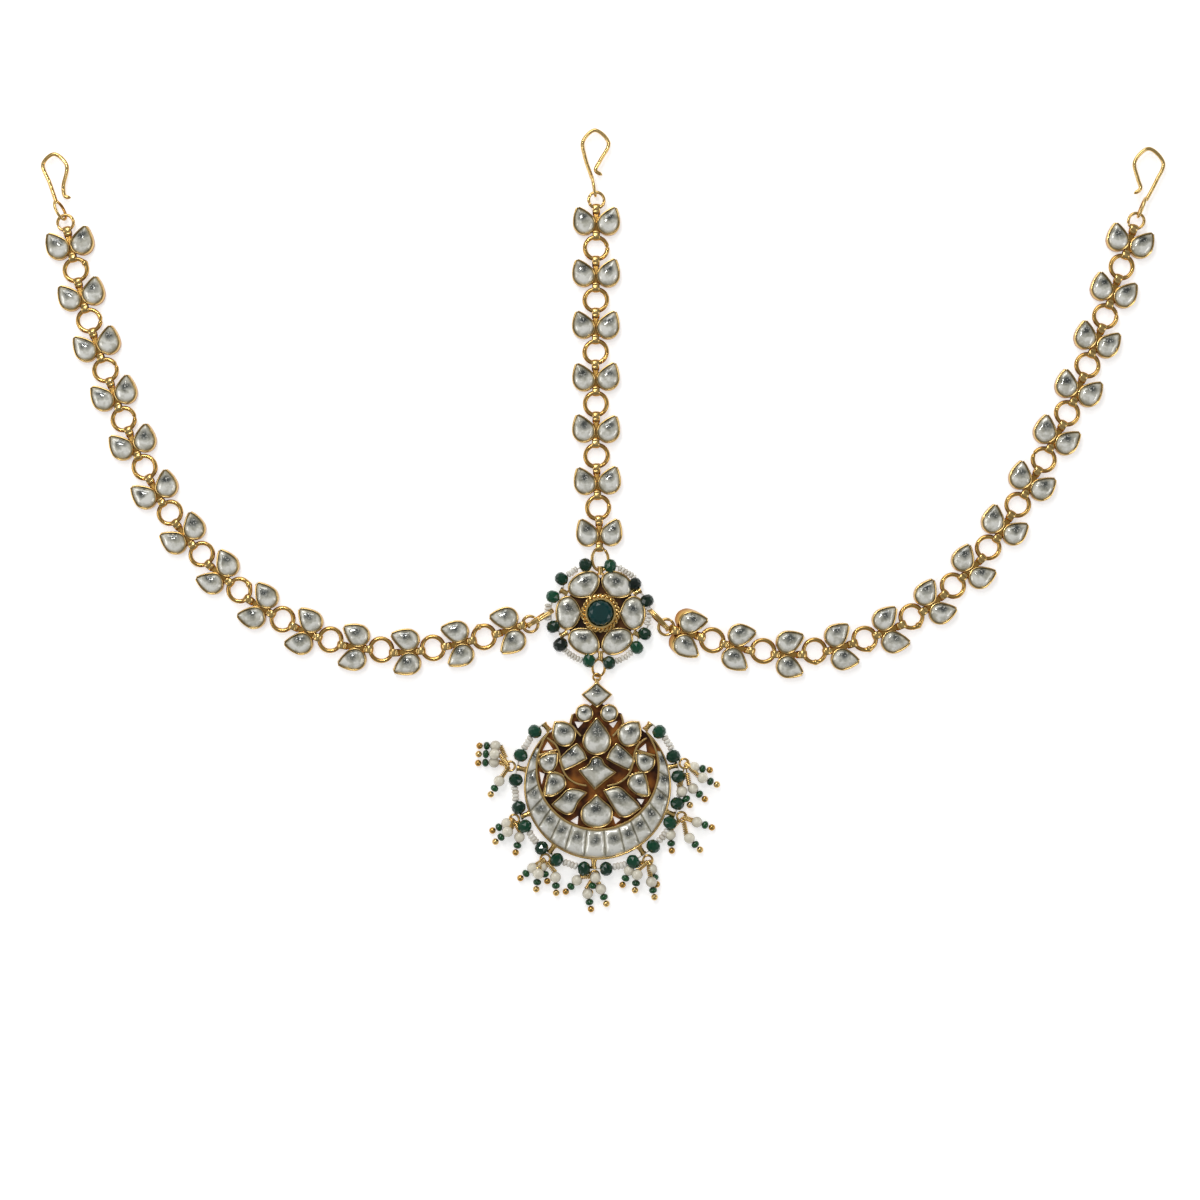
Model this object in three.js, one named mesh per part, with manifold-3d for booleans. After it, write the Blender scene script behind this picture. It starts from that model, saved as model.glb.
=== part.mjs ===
// Matha patti: a forehead ornament of three linked chains, a rosette and a crescent pendant.
// Units are millimetres. It lies face up on z = 0, with the rosette's centre over the origin,
// +Y towards the three hooks and +X to the wearer's left.
import * as THREE from "three";
import { mergeVertices } from "three/addons/utils/BufferGeometryUtils.js";
import Module from "manifold-3d";

const wasm = await Module();
wasm.setup();

// ---------------------------------------------------------------- driving dimensions

const JOIN_TOLERANCE = 0.01; // points nearer than this to a straight edge are dropped in a join
const GAP = 0.3; // clearance between pieces that are set or strung, not soldered
const BEZEL = 0.55; // wall round a set stone
const SEAT = 0.9; // height of the floor that a set stone lies on
const RIM = 2.6; // height of the bezels
const STONE = { girdle: RIM - 0.2, crown: RIM + 0.5, table: 0.7 }; // set stones, all but the centre
const PAST = 1; // how far a cutter runs past the face that it opens
const MITRE_LIMIT = 0.6; // sharpest corner of an offset outline, as a cosine
const RING_MESH = { sides: 5, around: 10 }; // of the closed wire rings

const WIRE = { radius: 0.57, z: 1.4, sides: 5 }; // ring wire between the links
const FINE_WIRE = { radius: 0.4, z: 1.85, sides: 5 }; // jump rings at the chain ends

const LINK = {
  strapHalf: 0.85, // half width of the strap between the two stones
  strapReach: 4.9, // from the link's centre to the end of each lug
  height: 2.3, // strap, lugs and stone girdles
  crown: 2.9, // stone tables
  table: 0.66, // table size over girdle size
};
const LINK_RING_RADIUS = 3.0; // to the wire's centre
const SMALL_RING_RADIUS = 2.1;
const CENTRE_END_RING_RADIUS = 1.4;
const LINK_LEAD = 3.8; // from an end link's centre to the jump ring's wire in its lug
const HIDDEN = 2; // degrees of a ring's arc left out inside a lug
const ARC_STEPS = { link: 4, jump: 8, held: 8 }; // straight lengths in each kind of arc

// One teardrop stone of a link, to the right of the strap, with its tip up and outwards.
const LINK_STONE = [
  { x: 0.85, y: 1.3 },
  { x: 0.85, y: -2.4 },
  { x: 2.5, y: -3.8 },
  { x: 4.7, y: -3.6 },
  { x: 6.2, y: -1.9 },
  { x: 6.5, y: 0.4 },
  { x: 5.9, y: 4.1 },
  { x: 2.6, y: 2.8 },
];

// Each chain runs from its hook to the rosette through hand-placed points.
const CHAINS = {
  left: {
    links: 14,
    route: [
      { x: -144.1, y: 105.1 },
      { x: -139.6, y: 84.6 },
      { x: -130.6, y: 57.6 },
      { x: -119.3, y: 31.9 },
      { x: -103.0, y: 10.8 },
      { x: -79.8, y: -5.0 },
      { x: -51.7, y: -10.5 },
      { x: -18.9, y: -3.0 },
    ],
  },
  right: {
    links: 14,
    route: [
      { x: 144.3, y: 105.6 },
      { x: 137.9, y: 85.4 },
      { x: 128.2, y: 59.0 },
      { x: 115.3, y: 33.8 },
      { x: 99.7, y: 11.6 },
      { x: 77.9, y: -4.6 },
      { x: 49.3, y: -11.2 },
      { x: 17.7, y: -3.8 },
    ],
  },
  centre: {
    links: 7,
    route: [
      { x: -1.1, y: 111.2 },
      { x: -1.3, y: 76.2 },
      { x: -1.1, y: 41.0 },
      { x: -0.1, y: 16.2 },
    ],
  },
};
const HELD_RING = { radius: 2.4, lean: 0.35 }; // last ring of a side chain, held by the rosette

// Hook wire, bent in its own plane with the eye's top at the origin: leg, loop, curled end.
const HOOK_WIRE = { radius: 0.55, sides: 5, steps: 13 };
const EYE = { halfWidth: 1.65, halfLength: 2.75, radius: 0.42 };
const HOOKS = {
  left: {
    eyeTwist: 60, // degrees that the eye is turned out of the wire's plane
    eyeLean: 26, // degrees that the eye leans from straight down
    wire: [
      { x: 0.3, y: -0.6 },
      { x: -1.7, y: 5.2 },
      { x: -3.5, y: 10.2 },
      { x: -0.5, y: 13.0 },
      { x: 3.0, y: 10.0 },
      { x: 2.1, y: 4.0 },
      { x: 2.6, y: 1.4 },
      { x: 4.2, y: 1.0 },
    ],
  },
  centre: {
    eyeTwist: 90,
    eyeLean: 10,
    wire: [
      { x: 0.0, y: -0.6 },
      { x: -2.0, y: 5.4 },
      { x: -2.5, y: 9.6 },
      { x: 0.8, y: 12.7 },
      { x: 4.6, y: 9.2 },
      { x: 2.2, y: 4.2 },
      { x: 1.0, y: 1.6 },
      { x: 2.8, y: 0.3 },
    ],
  },
  right: {
    eyeTwist: 90,
    eyeLean: -22,
    wire: [
      { x: 0.2, y: -0.6 },
      { x: 3.0, y: 4.6 },
      { x: 5.0, y: 9.6 },
      { x: 0.9, y: 13.5 },
      { x: -3.0, y: 9.9 },
      { x: -2.1, y: 5.2 },
      { x: -1.4, y: 2.6 },
      { x: -3.2, y: 1.2 },
    ],
  },
};

const ROSETTE = {
  petals: 6,
  centreStone: 3.3, // girdle radius
  centreSides: 10,
  centreRim: 5.05, // outer radius of the twisted wire round the centre stone
  heldAt: 14.95, // where the wire of a chain's last ring passes through its long lug
  base: 9.9, // corners of the back plate that carries the bezels and the lugs
  baseTop: 1.5,
  centreSeat: 1.6, // floor under the centre stone
  centreTop: 3.7,
  centreCrown: 1.2, // height of the centre stone's crown above its rim
  centreTable: 0.62, // its table size over its girdle size
};
// Lugs of the rosette. The long ones hold the chains and the pendant, the short ones the string.
const LUG = { halfWidth: 0.4, wall: 0.4, slotHalf: 0.8 };
const ROSETTE_LUGS = [
  { turn: 0, from: 11.7, slotFrom: 12.8, reach: 16.1 },
  { turn: 30, from: 8.4, slotFrom: 12.85, reach: 14.8 },
  { turn: 90, from: 8.4, slotFrom: 12.8, reach: 15.9 },
  { turn: 150, from: 8.4, slotFrom: 12.85, reach: 14.8 },
  { turn: 180, from: 11.7, slotFrom: 12.8, reach: 16.1 },
  { turn: 210, from: 8.4, slotFrom: 12.85, reach: 14.8 },
  { turn: 270, from: 8.4, slotFrom: 12.8, reach: 15.7 },
  { turn: 330, from: 8.4, slotFrom: 12.85, reach: 14.8 },
];
// Half of a petal stone, seen with its centre line along +Y: distance out and half width.
const PETAL = [
  { out: 6.0, half: 0.8 },
  { out: 7.5, half: 2.9 },
  { out: 9.3, half: 3.5 },
  { out: 11.0, half: 2.0 },
];

const STRING_SIDES = 7;
const ROSETTE_STRING = {
  radius: 13.6, // to the thread, from the rosette's centre
  z: 1.9,
  thread: 0.3,
  seed: 0.95,
  bead: 1.6,
  beadOff: 12.5, // degrees from a lug to the bead beside it
  bareOff: 18.5, // degrees from a lug to where the thread is bare
};

const PENDANT_RING = { x: -0.4, y: -16.05, radius: 1.6, wire: 0.33 };

// The pendant's own frame has its origin at the centre of the crescent's outer circle.
const PENDANT = { x: -0.8, y: -46.6 };
const BAIL = { from: 27.2, slotFrom: 28.3, reach: 30.45 }; // loop over the top diamond's tip
const CRESCENT = {
  outer: 19.85,
  inner: 16.1,
  innerUp: 4.75, // how far the inner circle's centre lies above the outer one's
  outerSteps: 15,
  innerSteps: 11,
  tipBlunt: 5.5, // degrees from where the two circles meet to the blunt end of each horn
};

// Stones of the pendant: outline kind, centre, half sizes and turn in degrees.
const PENDANT_STONES = [
  { node: "stone_top_diamond", kind: "diamond", x: -0.2, y: 24.5, w: 3.1, h: 2.9, turn: 0 },
  { node: "stone_round_left", kind: "round", x: -3.5, y: 19.6, w: 2.1, h: 2.1, turn: 0 },
  { node: "stone_round_right", kind: "round", x: 3.1, y: 19.6, w: 2.1, h: 2.1, turn: 0 },
  { node: "stone_upper_drop", kind: "drop", x: -0.2, y: 13.4, w: 3.4, h: 4.6, turn: 0 },
  { node: "stone_upper_pear_left", kind: "drop", x: -9.2, y: 14.3, w: 2.6, h: 3.4, turn: 38 },
  { node: "stone_upper_pear_right", kind: "drop", x: 8.8, y: 14.3, w: 2.6, h: 3.4, turn: -38 },
  { node: "stone_upper_leaf_left", kind: "leaf", x: -6.1, y: 7.7, w: 2.7, h: 3.5, turn: -38 },
  { node: "stone_upper_leaf_right", kind: "leaf", x: 5.7, y: 7.7, w: 2.7, h: 3.5, turn: 38 },
  { node: "stone_centre_diamond", kind: "diamond", x: -0.2, y: 3.7, w: 4.2, h: 3.8, turn: 0 },
  { node: "stone_side_round_left", kind: "round", x: -13.0, y: 6.3, w: 2.3, h: 2.3, turn: 0 },
  { node: "stone_side_round_right", kind: "round", x: 12.6, y: 6.3, w: 2.3, h: 2.3, turn: 0 },
  { node: "stone_lower_pear_left", kind: "drop", x: -10.6, y: 1.0, w: 2.3, h: 2.8, turn: 60 },
  { node: "stone_lower_pear_right", kind: "drop", x: 10.2, y: 1.0, w: 2.3, h: 2.8, turn: -60 },
  { node: "stone_lower_leaf_left", kind: "leaf", x: -6.9, y: -3.9, w: 2.6, h: 3.6, turn: -122 },
  { node: "stone_lower_leaf_right", kind: "leaf", x: 6.5, y: -3.9, w: 2.6, h: 3.6, turn: 122 },
  { node: "stone_bottom_drop", kind: "drop", x: -0.2, y: -6.3, w: 3.3, h: 4.4, turn: 0 },
];

// Floor between the stones of the pendant, right half from the bail down to the crescent, and
// the small triangles that are pierced through it on each side.
const FLOOR = {
  height: 0.7,
  half: [
    { x: 0, y: 23.0 },
    { x: 3.4, y: 20.6 },
    { x: 6.6, y: 19.4 },
    { x: 7.2, y: 16.6 },
    { x: 10.6, y: 16.2 },
    { x: 12.6, y: 13.8 },
    { x: 15.9, y: 5.2 },
    { x: 14.2, y: -3.2 },
    { x: 8.8, y: -9.2 },
    { x: 0, y: -11.6 },
  ],
  pierced: [
    [{ x: -6.3, y: 17.3 }, { x: -5.6, y: 15.1 }, { x: -4.3, y: 16.6 }],
    [{ x: -13.5, y: 11.9 }, { x: -14.8, y: 9.5 }, { x: -12.0, y: 9.8 }],
    [{ x: -15.7, y: 3.8 }, { x: -15.1, y: 0.3 }, { x: -14.3, y: 3.2 }],
    [{ x: -5.2, y: -8.1 }, { x: -7.3, y: -9.5 }, { x: -5.4, y: -10.5 }],
    [{ x: 3.9, y: 16.5 }, { x: 4.9, y: 15.0 }, { x: 5.7, y: 17.1 }],
    [{ x: 13.0, y: 11.4 }, { x: 11.0, y: 9.6 }, { x: 13.3, y: 8.9 }],
    [{ x: 10.6, y: -3.5 }, { x: 11.8, y: -5.1 }, { x: 12.6, y: -3.7 }],
    [{ x: 4.1, y: -8.1 }, { x: 4.8, y: -10.3 }, { x: 6.2, y: -9.2 }],
  ],
};

const CRESCENT_STRING = {
  radius: 22.25,
  z: 1.75,
  thread: 0.3,
  bead: 1.65,
  beadOff: 6.5,
  lugAngles: [129.5, 167.2, 201.8, 234.3, 268, 304.2, 340, 374.6, 410.5],
  slotFrom: 21.5,
  lugReach: 23.45,
};

// Bundles of drops on the crescent's lugs: the drops' bearings in degrees and their lengths.
const FRINGE = [
  { lug: 167.2, bearings: [151, 161, 173, 222], lengths: [9.9, 9.4, 8.8, 8.0] },
  { lug: 201.8, bearings: [206, 223, 258], lengths: [6.9, 7.8, 7.8] },
  { lug: 234.3, bearings: [222, 249, 263, 277], lengths: [8.6, 8.6, 6.1, 8.9] },
  { lug: 268.0, bearings: [222, 260, 266, 287], lengths: [8.0, 5.9, 9.4, 8.2] },
  { lug: 304.2, bearings: [239, 259, 294, 285], lengths: [7.9, 8.1, 7.2, 10.1] },
  { lug: 340.0, bearings: [269, 307, 340], lengths: [7.7, 9.8, 8.8] },
  { lug: 374.6, bearings: [353, 336, 312, 291], lengths: [7.1, 9.9, 9.6, 8.8] },
];
const DROP = {
  z: 1.6,
  sides: 5,
  // Radius at each distance from the drop's far end: ball and glass bead, then the pearl.
  profile: [
    { at: 0.9, radius: 0.95 },
    { at: 5.2, radius: 1.55 },
  ],
  head: { radius: 1.1, height: 2.2, sides: 6 }, // the loops that gather one bundle
};

// ---------------------------------------------------------------- shapes and solids

const rad = THREE.MathUtils.degToRad;
const deg = THREE.MathUtils.radToDeg;
/** Direction in degrees from one flat point to another. */
const bearing = (from, to) => deg(Math.atan2(to.y - from.y, to.x - from.x));
const polar = (radius, degrees) =>
  new THREE.Vector2(radius * Math.cos(rad(degrees)), radius * Math.sin(rad(degrees)));
const points2 = (rows) => rows.map((row) => new THREE.Vector2(row.x, row.y));

/** Closed solid of a geometry, with shared vertices merged. */
function solidOf(geometry, matrix) {
  const bare = geometry.clone();
  bare.deleteAttribute("normal");
  bare.deleteAttribute("uv");
  if (matrix) bare.applyMatrix4(matrix);
  const merged = mergeVertices(bare, 1e-4);
  return new wasm.Manifold(
    new wasm.Mesh({
      numProp: 3,
      vertProperties: new Float32Array(merged.attributes.position.array),
      triVerts: new Uint32Array(merged.index.array),
      tolerance: JOIN_TOLERANCE,
    }),
  );
}

function geometryOf(solid) {
  const mesh = solid.getMesh();
  const geometry = new THREE.BufferGeometry();
  geometry.setAttribute("position", new THREE.BufferAttribute(mesh.vertProperties, 3));
  geometry.setIndex(new THREE.BufferAttribute(mesh.triVerts, 1));
  const flat = geometry.toNonIndexed();
  flat.computeVertexNormals();
  return flat;
}

const join = (solids) => solids.reduce((whole, solid) => whole.add(solid));

const moved = (solid, x, y, z, turn = 0) =>
  solid.transform(
    new THREE.Matrix4()
      .makeRotationZ(rad(turn))
      .setPosition(x, y, z)
      .toArray(),
  );

/** Skin over rings of equal point counts, its last ring joined to the first or both capped. */
function skin(rings, capOutline, joined = false) {
  const count = rings[0].length;
  const positions = rings.flat().flatMap((point) => point.toArray());
  const index = [];
  const bands = joined ? rings.length : rings.length - 1;
  for (let band = 0; band < bands; band += 1) {
    const low = band * count;
    const high = ((band + 1) % rings.length) * count;
    for (let i = 0; i < count; i += 1) {
      const next = (i + 1) % count;
      index.push(low + i, low + next, high + next, low + i, high + next, high + i);
    }
  }
  const top = (rings.length - 1) * count;
  for (const [a, b, c] of joined ? [] : THREE.ShapeUtils.triangulateShape(capOutline, [])) {
    index.push(a, c, b, top + a, top + b, top + c);
  }
  const geometry = new THREE.BufferGeometry();
  geometry.setAttribute("position", new THREE.Float32BufferAttribute(positions, 3));
  geometry.setIndex(index);
  return geometry;
}

const ringAt = (outline, z) => outline.map((point) => new THREE.Vector3(point.x, point.y, z));

function middleOf(outline) {
  const sum = outline.reduce((total, point) => total.add(point), new THREE.Vector2());
  return sum.divideScalar(outline.length);
}

function scaled(outline, factor) {
  const middle = middleOf(outline);
  return outline.map((point) => point.clone().sub(middle).multiplyScalar(factor).add(middle));
}

/** Anticlockwise outline pushed outwards by a distance, with mitred corners. */
function offset(outline, distance) {
  const count = outline.length;
  return outline.map((point, i) => {
    const before = point.clone().sub(outline[(i + count - 1) % count]).normalize();
    const after = outline[(i + 1) % count].clone().sub(point).normalize();
    const out = new THREE.Vector2(before.y + after.y, -before.x - after.x).normalize();
    const reach = distance / Math.max(MITRE_LIMIT, out.dot(new THREE.Vector2(after.y, -after.x)));
    return point.clone().addScaledVector(out, reach);
  });
}

const prism = (outline, low, high) =>
  solidOf(skin([ringAt(outline, low), ringAt(outline, high)], outline));

/** Cut stone: straight girdle, one facet a side on the crown, and a flat table. */
const cutStone = (outline, low, girdle, high, table) =>
  solidOf(
    skin(
      [ringAt(outline, low), ringAt(outline, girdle), ringAt(scaled(outline, table), high)],
      outline,
    ),
  );

function box(x0, x1, y0, y1, z0, z1) {
  const geometry = new THREE.BoxGeometry(x1 - x0, y1 - y0, z1 - z0);
  geometry.translate((x0 + x1) / 2, (y0 + y1) / 2, (z0 + z1) / 2);
  return solidOf(geometry);
}

/** Wire of a few flat sides along any curve. */
function wireAlong(curve, radius, sides, steps) {
  const section = new THREE.Shape(
    Array.from({ length: sides }, (_, i) => polar(radius, (360 * (i + 0.5)) / sides)),
  );
  const options = { steps, extrudePath: curve, bevelEnabled: false };
  return solidOf(new THREE.ExtrudeGeometry(section, options));
}

/** Flat arc of a circle, from one angle to another in degrees. */
class RingArc extends THREE.Curve {
  constructor(centre, radius, from, to) {
    super();
    Object.assign(this, { centre, radius, from, to });
  }

  getPoint(t, target = new THREE.Vector3()) {
    const flat = polar(this.radius, this.from + (this.to - this.from) * t);
    return target.set(this.centre.x + flat.x, this.centre.y + flat.y, this.centre.z);
  }
}

/** Closed ring, its hole along Z; half sizes are to the wire's centre. */
function ring(halfX, halfY, wire) {
  const geometry = new THREE.TorusGeometry(halfX, wire, RING_MESH.sides, RING_MESH.around);
  const stretch = halfY / halfX;
  const position = geometry.attributes.position;
  for (let i = 0; i < position.count; i += 1) {
    const angle = Math.atan2(position.getY(i), position.getX(i));
    const extra = (stretch - 1) * halfX * Math.sin(angle);
    position.setY(i, position.getY(i) + extra);
  }
  return solidOf(geometry);
}

/** Ring turned on edge about its long axis, which is Y. */
function ringOnEdge(halfWidth, halfLength, wire, twist = 90) {
  const turn = new THREE.Matrix4().makeRotationY(rad(twist));
  return ring(halfWidth, halfLength, wire).transform(turn.toArray());
}

// ---------------------------------------------------------------- chains

/** Two teardrop stones either side of a strap that ends in a lug above and below. */
function chainLink() {
  const { strapHalf, strapReach, height, crown, table } = LINK;
  const right = points2(LINK_STONE);
  const left = right.map((point) => new THREE.Vector2(-point.x, point.y)).reverse();
  return join([
    box(-strapHalf, strapHalf, -strapReach, strapReach, 0, height),
    cutStone(right, 0, height, crown, table),
    cutStone(left, 0, height, crown, table),
  ]);
}

/** Link ring as two arcs that end inside the lugs of the links on either side. */
function ringBetween(before, after, radius) {
  const centre = new THREE.Vector3((before.x + after.x) / 2, (before.y + after.y) / 2, WIRE.z);
  const first = bearing(centre, before);
  const second = bearing(centre, after);
  const arc = (from, to) => {
    const sweep = THREE.MathUtils.euclideanModulo(to - from, 360);
    const curve = new RingArc(centre, radius, from + HIDDEN, from + sweep - HIDDEN);
    return wireAlong(curve, WIRE.radius, WIRE.sides, ARC_STEPS.link);
  };
  return [arc(first, second), arc(second, first)];
}

/** Links of a chain, evenly spaced along its route, with a ring between each two. */
function linksAlong({ links, route }, endRing) {
  const curve = new THREE.SplineCurve(points2(route));
  const length = curve.getLength();
  const lead = LINK_LEAD + SMALL_RING_RADIUS;
  const pitch = (length - lead - LINK_LEAD - endRing) / (links - 1);
  const placeAt = (distance) => {
    const point = curve.getPointAt(distance / length);
    const tangent = curve.getTangentAt(distance / length);
    const turn = bearing(tangent, { x: 0, y: 0 }) - 90;
    return { x: point.x, y: point.y, turn };
  };
  const link = chainLink();
  const places = Array.from({ length: links }, (_, i) => placeAt(lead + i * pitch));
  const pieces = places.map((place) => moved(link, place.x, place.y, 0, place.turn));
  for (let i = 0; i + 1 < links; i += 1) {
    pieces.push(...ringBetween(places[i], places[i + 1], LINK_RING_RADIUS));
  }
  return { pieces, places };
}

/** Jump ring at a chain's end, as one arc whose ends lie inside the nearest link's lug. */
function jumpRing(at, radius, link) {
  const from = bearing(at, link);
  const middle = new THREE.Vector3(at.x, at.y, FINE_WIRE.z);
  const curve = new RingArc(middle, radius, from + HIDDEN, from + 360 - HIDDEN);
  return wireAlong(curve, FINE_WIRE.radius, FINE_WIRE.sides, ARC_STEPS.jump);
}

/** Last ring of a side chain, soldered where it crosses the small ring before it. */
function heldRing(before, beforeRadius) {
  const held = new THREE.Vector2(Math.sign(before.x) * ROSETTE.heldAt, 0);
  const along = new THREE.Vector2(before.x - held.x, HELD_RING.lean * before.y).normalize();
  const centre = held.addScaledVector(along, HELD_RING.radius);
  const apart = Math.hypot(before.x - centre.x, before.y - centre.y);
  const reach = (apart ** 2 + HELD_RING.radius ** 2 - beforeRadius ** 2) / (2 * apart);
  const cut = deg(Math.acos(reach / HELD_RING.radius));
  const towards = bearing(centre, before);
  const middle = new THREE.Vector3(centre.x, centre.y, FINE_WIRE.z);
  const curve = new RingArc(middle, HELD_RING.radius, towards + cut, towards + 360 - cut);
  return wireAlong(curve, FINE_WIRE.radius, FINE_WIRE.sides, ARC_STEPS.held);
}

/** Chain with its jump ring at the hook and what joins it to the rosette's long lug. */
function wholeChain(side) {
  const { route } = CHAINS[side];
  const endRing = side === "centre" ? CENTRE_END_RING_RADIUS : SMALL_RING_RADIUS;
  const { pieces, places } = linksAlong(CHAINS[side], endRing);
  const start = route[0];
  const end = route[route.length - 1];
  pieces.push(jumpRing(start, SMALL_RING_RADIUS, places[0]));
  pieces.push(jumpRing(end, endRing, places[places.length - 1]));
  if (side !== "centre") pieces.push(heldRing(end, endRing));
  return join(pieces);
}

// ---------------------------------------------------------------- hooks

/** Open wire hook, with its eye turned out of the hook's plane so that it holds a flat ring. */
function hook({ eyeTwist, eyeLean, wire }) {
  const eye = ringOnEdge(EYE.halfWidth, EYE.halfLength, EYE.radius, eyeTwist);
  const eyeHeight = EYE.halfWidth * Math.sin(rad(eyeTwist)) + EYE.radius;
  const lean = polar(EYE.halfLength, eyeLean - 90);
  const route = wire.map(({ x, y }) => new THREE.Vector3(x, y, eyeHeight));
  const bent = new THREE.CatmullRomCurve3(route, false, "centripetal");
  return join([
    wireAlong(bent, HOOK_WIRE.radius, HOOK_WIRE.sides, HOOK_WIRE.steps),
    moved(eye, lean.x, lean.y, eyeHeight, eyeLean),
  ]);
}

/** Where a hook's origin goes, so that its eye holds the chain's first ring. */
function hookPlace(side) {
  const { eyeLean } = HOOKS[side];
  const start = CHAINS[side].route[0];
  const held = SMALL_RING_RADIUS - FINE_WIRE.radius - EYE.radius - GAP;
  const down = polar(1, eyeLean - 90);
  const reach = held + 2 * EYE.halfLength;
  return { x: start.x - down.x * reach, y: start.y - down.y * reach };
}

// ---------------------------------------------------------------- rosette

const petalOutline = () => [
  ...PETAL.map(({ out, half }) => new THREE.Vector2(half, out)),
  ...PETAL.map(({ out, half }) => new THREE.Vector2(-half, out)).reverse(),
];

const turned = (outline, degrees) =>
  outline.map((point) => point.clone().rotateAround(new THREE.Vector2(), rad(degrees)));

/** Lug out along +Y, with a slot along X that a bead string passes through. */
function lug(from, reach, slotFrom, z) {
  const { halfWidth, wall, slotHalf } = LUG;
  const block = box(-halfWidth, halfWidth, from, reach, z - slotHalf - wall, z + slotHalf + wall);
  const half = halfWidth + PAST;
  return block.subtract(box(-half, half, slotFrom, reach - wall, z - slotHalf, z + slotHalf));
}

/** Setting of the rosette: six petal bezels, the raised centre rim and the lugs between them. */
function rosetteSetting() {
  const petalTurns = Array.from({ length: ROSETTE.petals }, (_, i) => (i * 360) / ROSETTE.petals);
  const petal = petalOutline();
  const circle = (radius, sides, from = 0) =>
    Array.from({ length: sides }, (_, i) => polar(radius, from + (360 * i) / sides));
  const { centreSides } = ROSETTE;
  const rim = prism(circle(ROSETTE.centreRim, centreSides), 0, ROSETTE.centreTop);
  let body = rim.add(prism(circle(ROSETTE.base, ROSETTE.petals, 30), 0, ROSETTE.baseTop));
  for (const turn of petalTurns) {
    body = body.add(prism(turned(offset(petal, GAP + BEZEL), turn - 90), 0, RIM));
  }
  for (const { turn, from, slotFrom, reach } of ROSETTE_LUGS) {
    body = body.add(moved(lug(from, reach, slotFrom, ROSETTE_STRING.z), 0, 0, 0, turn - 90));
  }
  for (const turn of petalTurns) {
    body = body.subtract(prism(turned(offset(petal, GAP), turn - 90), SEAT, RIM + PAST));
  }
  const well = circle(ROSETTE.centreStone + GAP, centreSides);
  return body.subtract(prism(well, ROSETTE.centreSeat, ROSETTE.centreTop + PAST));
}

/** Stone that lies on its seat inside a bezel. */
const setStone = (outline) =>
  cutStone(outline, SEAT + GAP, STONE.girdle, STONE.crown, STONE.table);

const petalStone = () => setStone(petalOutline());

function centreStone() {
  const { centreSeat, centreStone: girdle, centreTop, centreTable, centreSides } = ROSETTE;
  const top = centreTop + ROSETTE.centreCrown;
  const profile = [
    new THREE.Vector2(0, centreSeat + GAP),
    new THREE.Vector2(girdle, centreSeat + GAP),
    new THREE.Vector2(girdle, centreTop),
    new THREE.Vector2(centreTable * girdle, top),
    new THREE.Vector2(0, top),
  ];
  const upright = new THREE.Matrix4().makeRotationX(rad(90));
  return solidOf(new THREE.LatheGeometry(profile, centreSides), upright);
}

// ---------------------------------------------------------------- strings of beads

/** Tube along a string's arc through rows of angle and radius; a closed one has no ends. */
function stringTube({ radius, z }, rows, closed) {
  const section = Array.from({ length: STRING_SIDES }, (_, i) =>
    polar(1, (360 * i) / STRING_SIDES));
  const rings = rows.map(({ angle, size }) =>
    section.map(({ x, y }) => {
      const flat = polar(radius + size * y, angle);
      return new THREE.Vector3(flat.x, flat.y, z + size * x);
    }));
  return solidOf(skin(rings, section, closed));
}

/** Rosette's string: thick at the bead on each side of a rim lug, bare behind the side lugs. */
function rosetteString() {
  const { bead, seed, thread, beadOff, bareOff } = ROSETTE_STRING;
  const pitch = 360 / ROSETTE.petals;
  const rows = [];
  for (let lugAngle = pitch / 2; lugAngle < 360; lugAngle += pitch) {
    const bareAfter = (lugAngle + pitch / 2) % 180 === 0;
    rows.push(
      { angle: lugAngle - beadOff, size: bead },
      { angle: lugAngle, size: thread },
      { angle: lugAngle + beadOff, size: bead },
      { angle: lugAngle + (bareAfter ? bareOff : pitch / 2), size: bareAfter ? thread : seed },
    );
    if (bareAfter) rows.push({ angle: lugAngle + pitch - bareOff, size: thread });
  }
  return stringTube(ROSETTE_STRING, rows, true);
}

/** Crescent's string: thick between the lugs and drawn in to the thread at each. */
function crescentString() {
  const { bead, thread, beadOff, lugAngles } = CRESCENT_STRING;
  const rows = lugAngles.flatMap((angle) => [
    { angle: angle - beadOff, size: bead },
    { angle, size: thread },
    { angle: angle + beadOff, size: bead },
  ]);
  return stringTube(CRESCENT_STRING, rows.slice(1, -1), false);
}

// ---------------------------------------------------------------- pendant

const OUTLINES = {
  round: () => Array.from({ length: 8 }, (_, i) => polar(1, 45 * i + 22.5)),
  diamond: () => [
    new THREE.Vector2(1, 0.05),
    new THREE.Vector2(0.42, 0.46),
    new THREE.Vector2(0, 1),
    new THREE.Vector2(-0.42, 0.46),
    new THREE.Vector2(-1, 0.05),
    new THREE.Vector2(-0.48, -0.54),
    new THREE.Vector2(0, -1),
    new THREE.Vector2(0.48, -0.54),
  ],
  drop: () => [
    new THREE.Vector2(0, 1),
    ...Array.from({ length: 7 }, (_, i) => {
      const around = polar(1, 160 + (i * 220) / 6);
      return new THREE.Vector2(around.x, -0.28 + 0.72 * around.y);
    }),
  ],
  leaf: () => [
    new THREE.Vector2(0.15, 1),
    new THREE.Vector2(-0.5, 0.72),
    new THREE.Vector2(-0.98, 0.2),
    new THREE.Vector2(-0.8, -0.5),
    new THREE.Vector2(-0.1, -1),
    new THREE.Vector2(0.55, -0.75),
    new THREE.Vector2(1, -0.1),
    new THREE.Vector2(0.75, 0.62),
  ],
};

/** Outline of one pendant stone, sized, turned and placed in the pendant's frame. */
function stoneOutline({ kind, x, y, w, h, turn }) {
  const unit = OUTLINES[kind]().map((point) => new THREE.Vector2(point.x * w, point.y * h));
  return turned(unit, turn).map((point) => point.add(new THREE.Vector2(x, y)));
}

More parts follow.
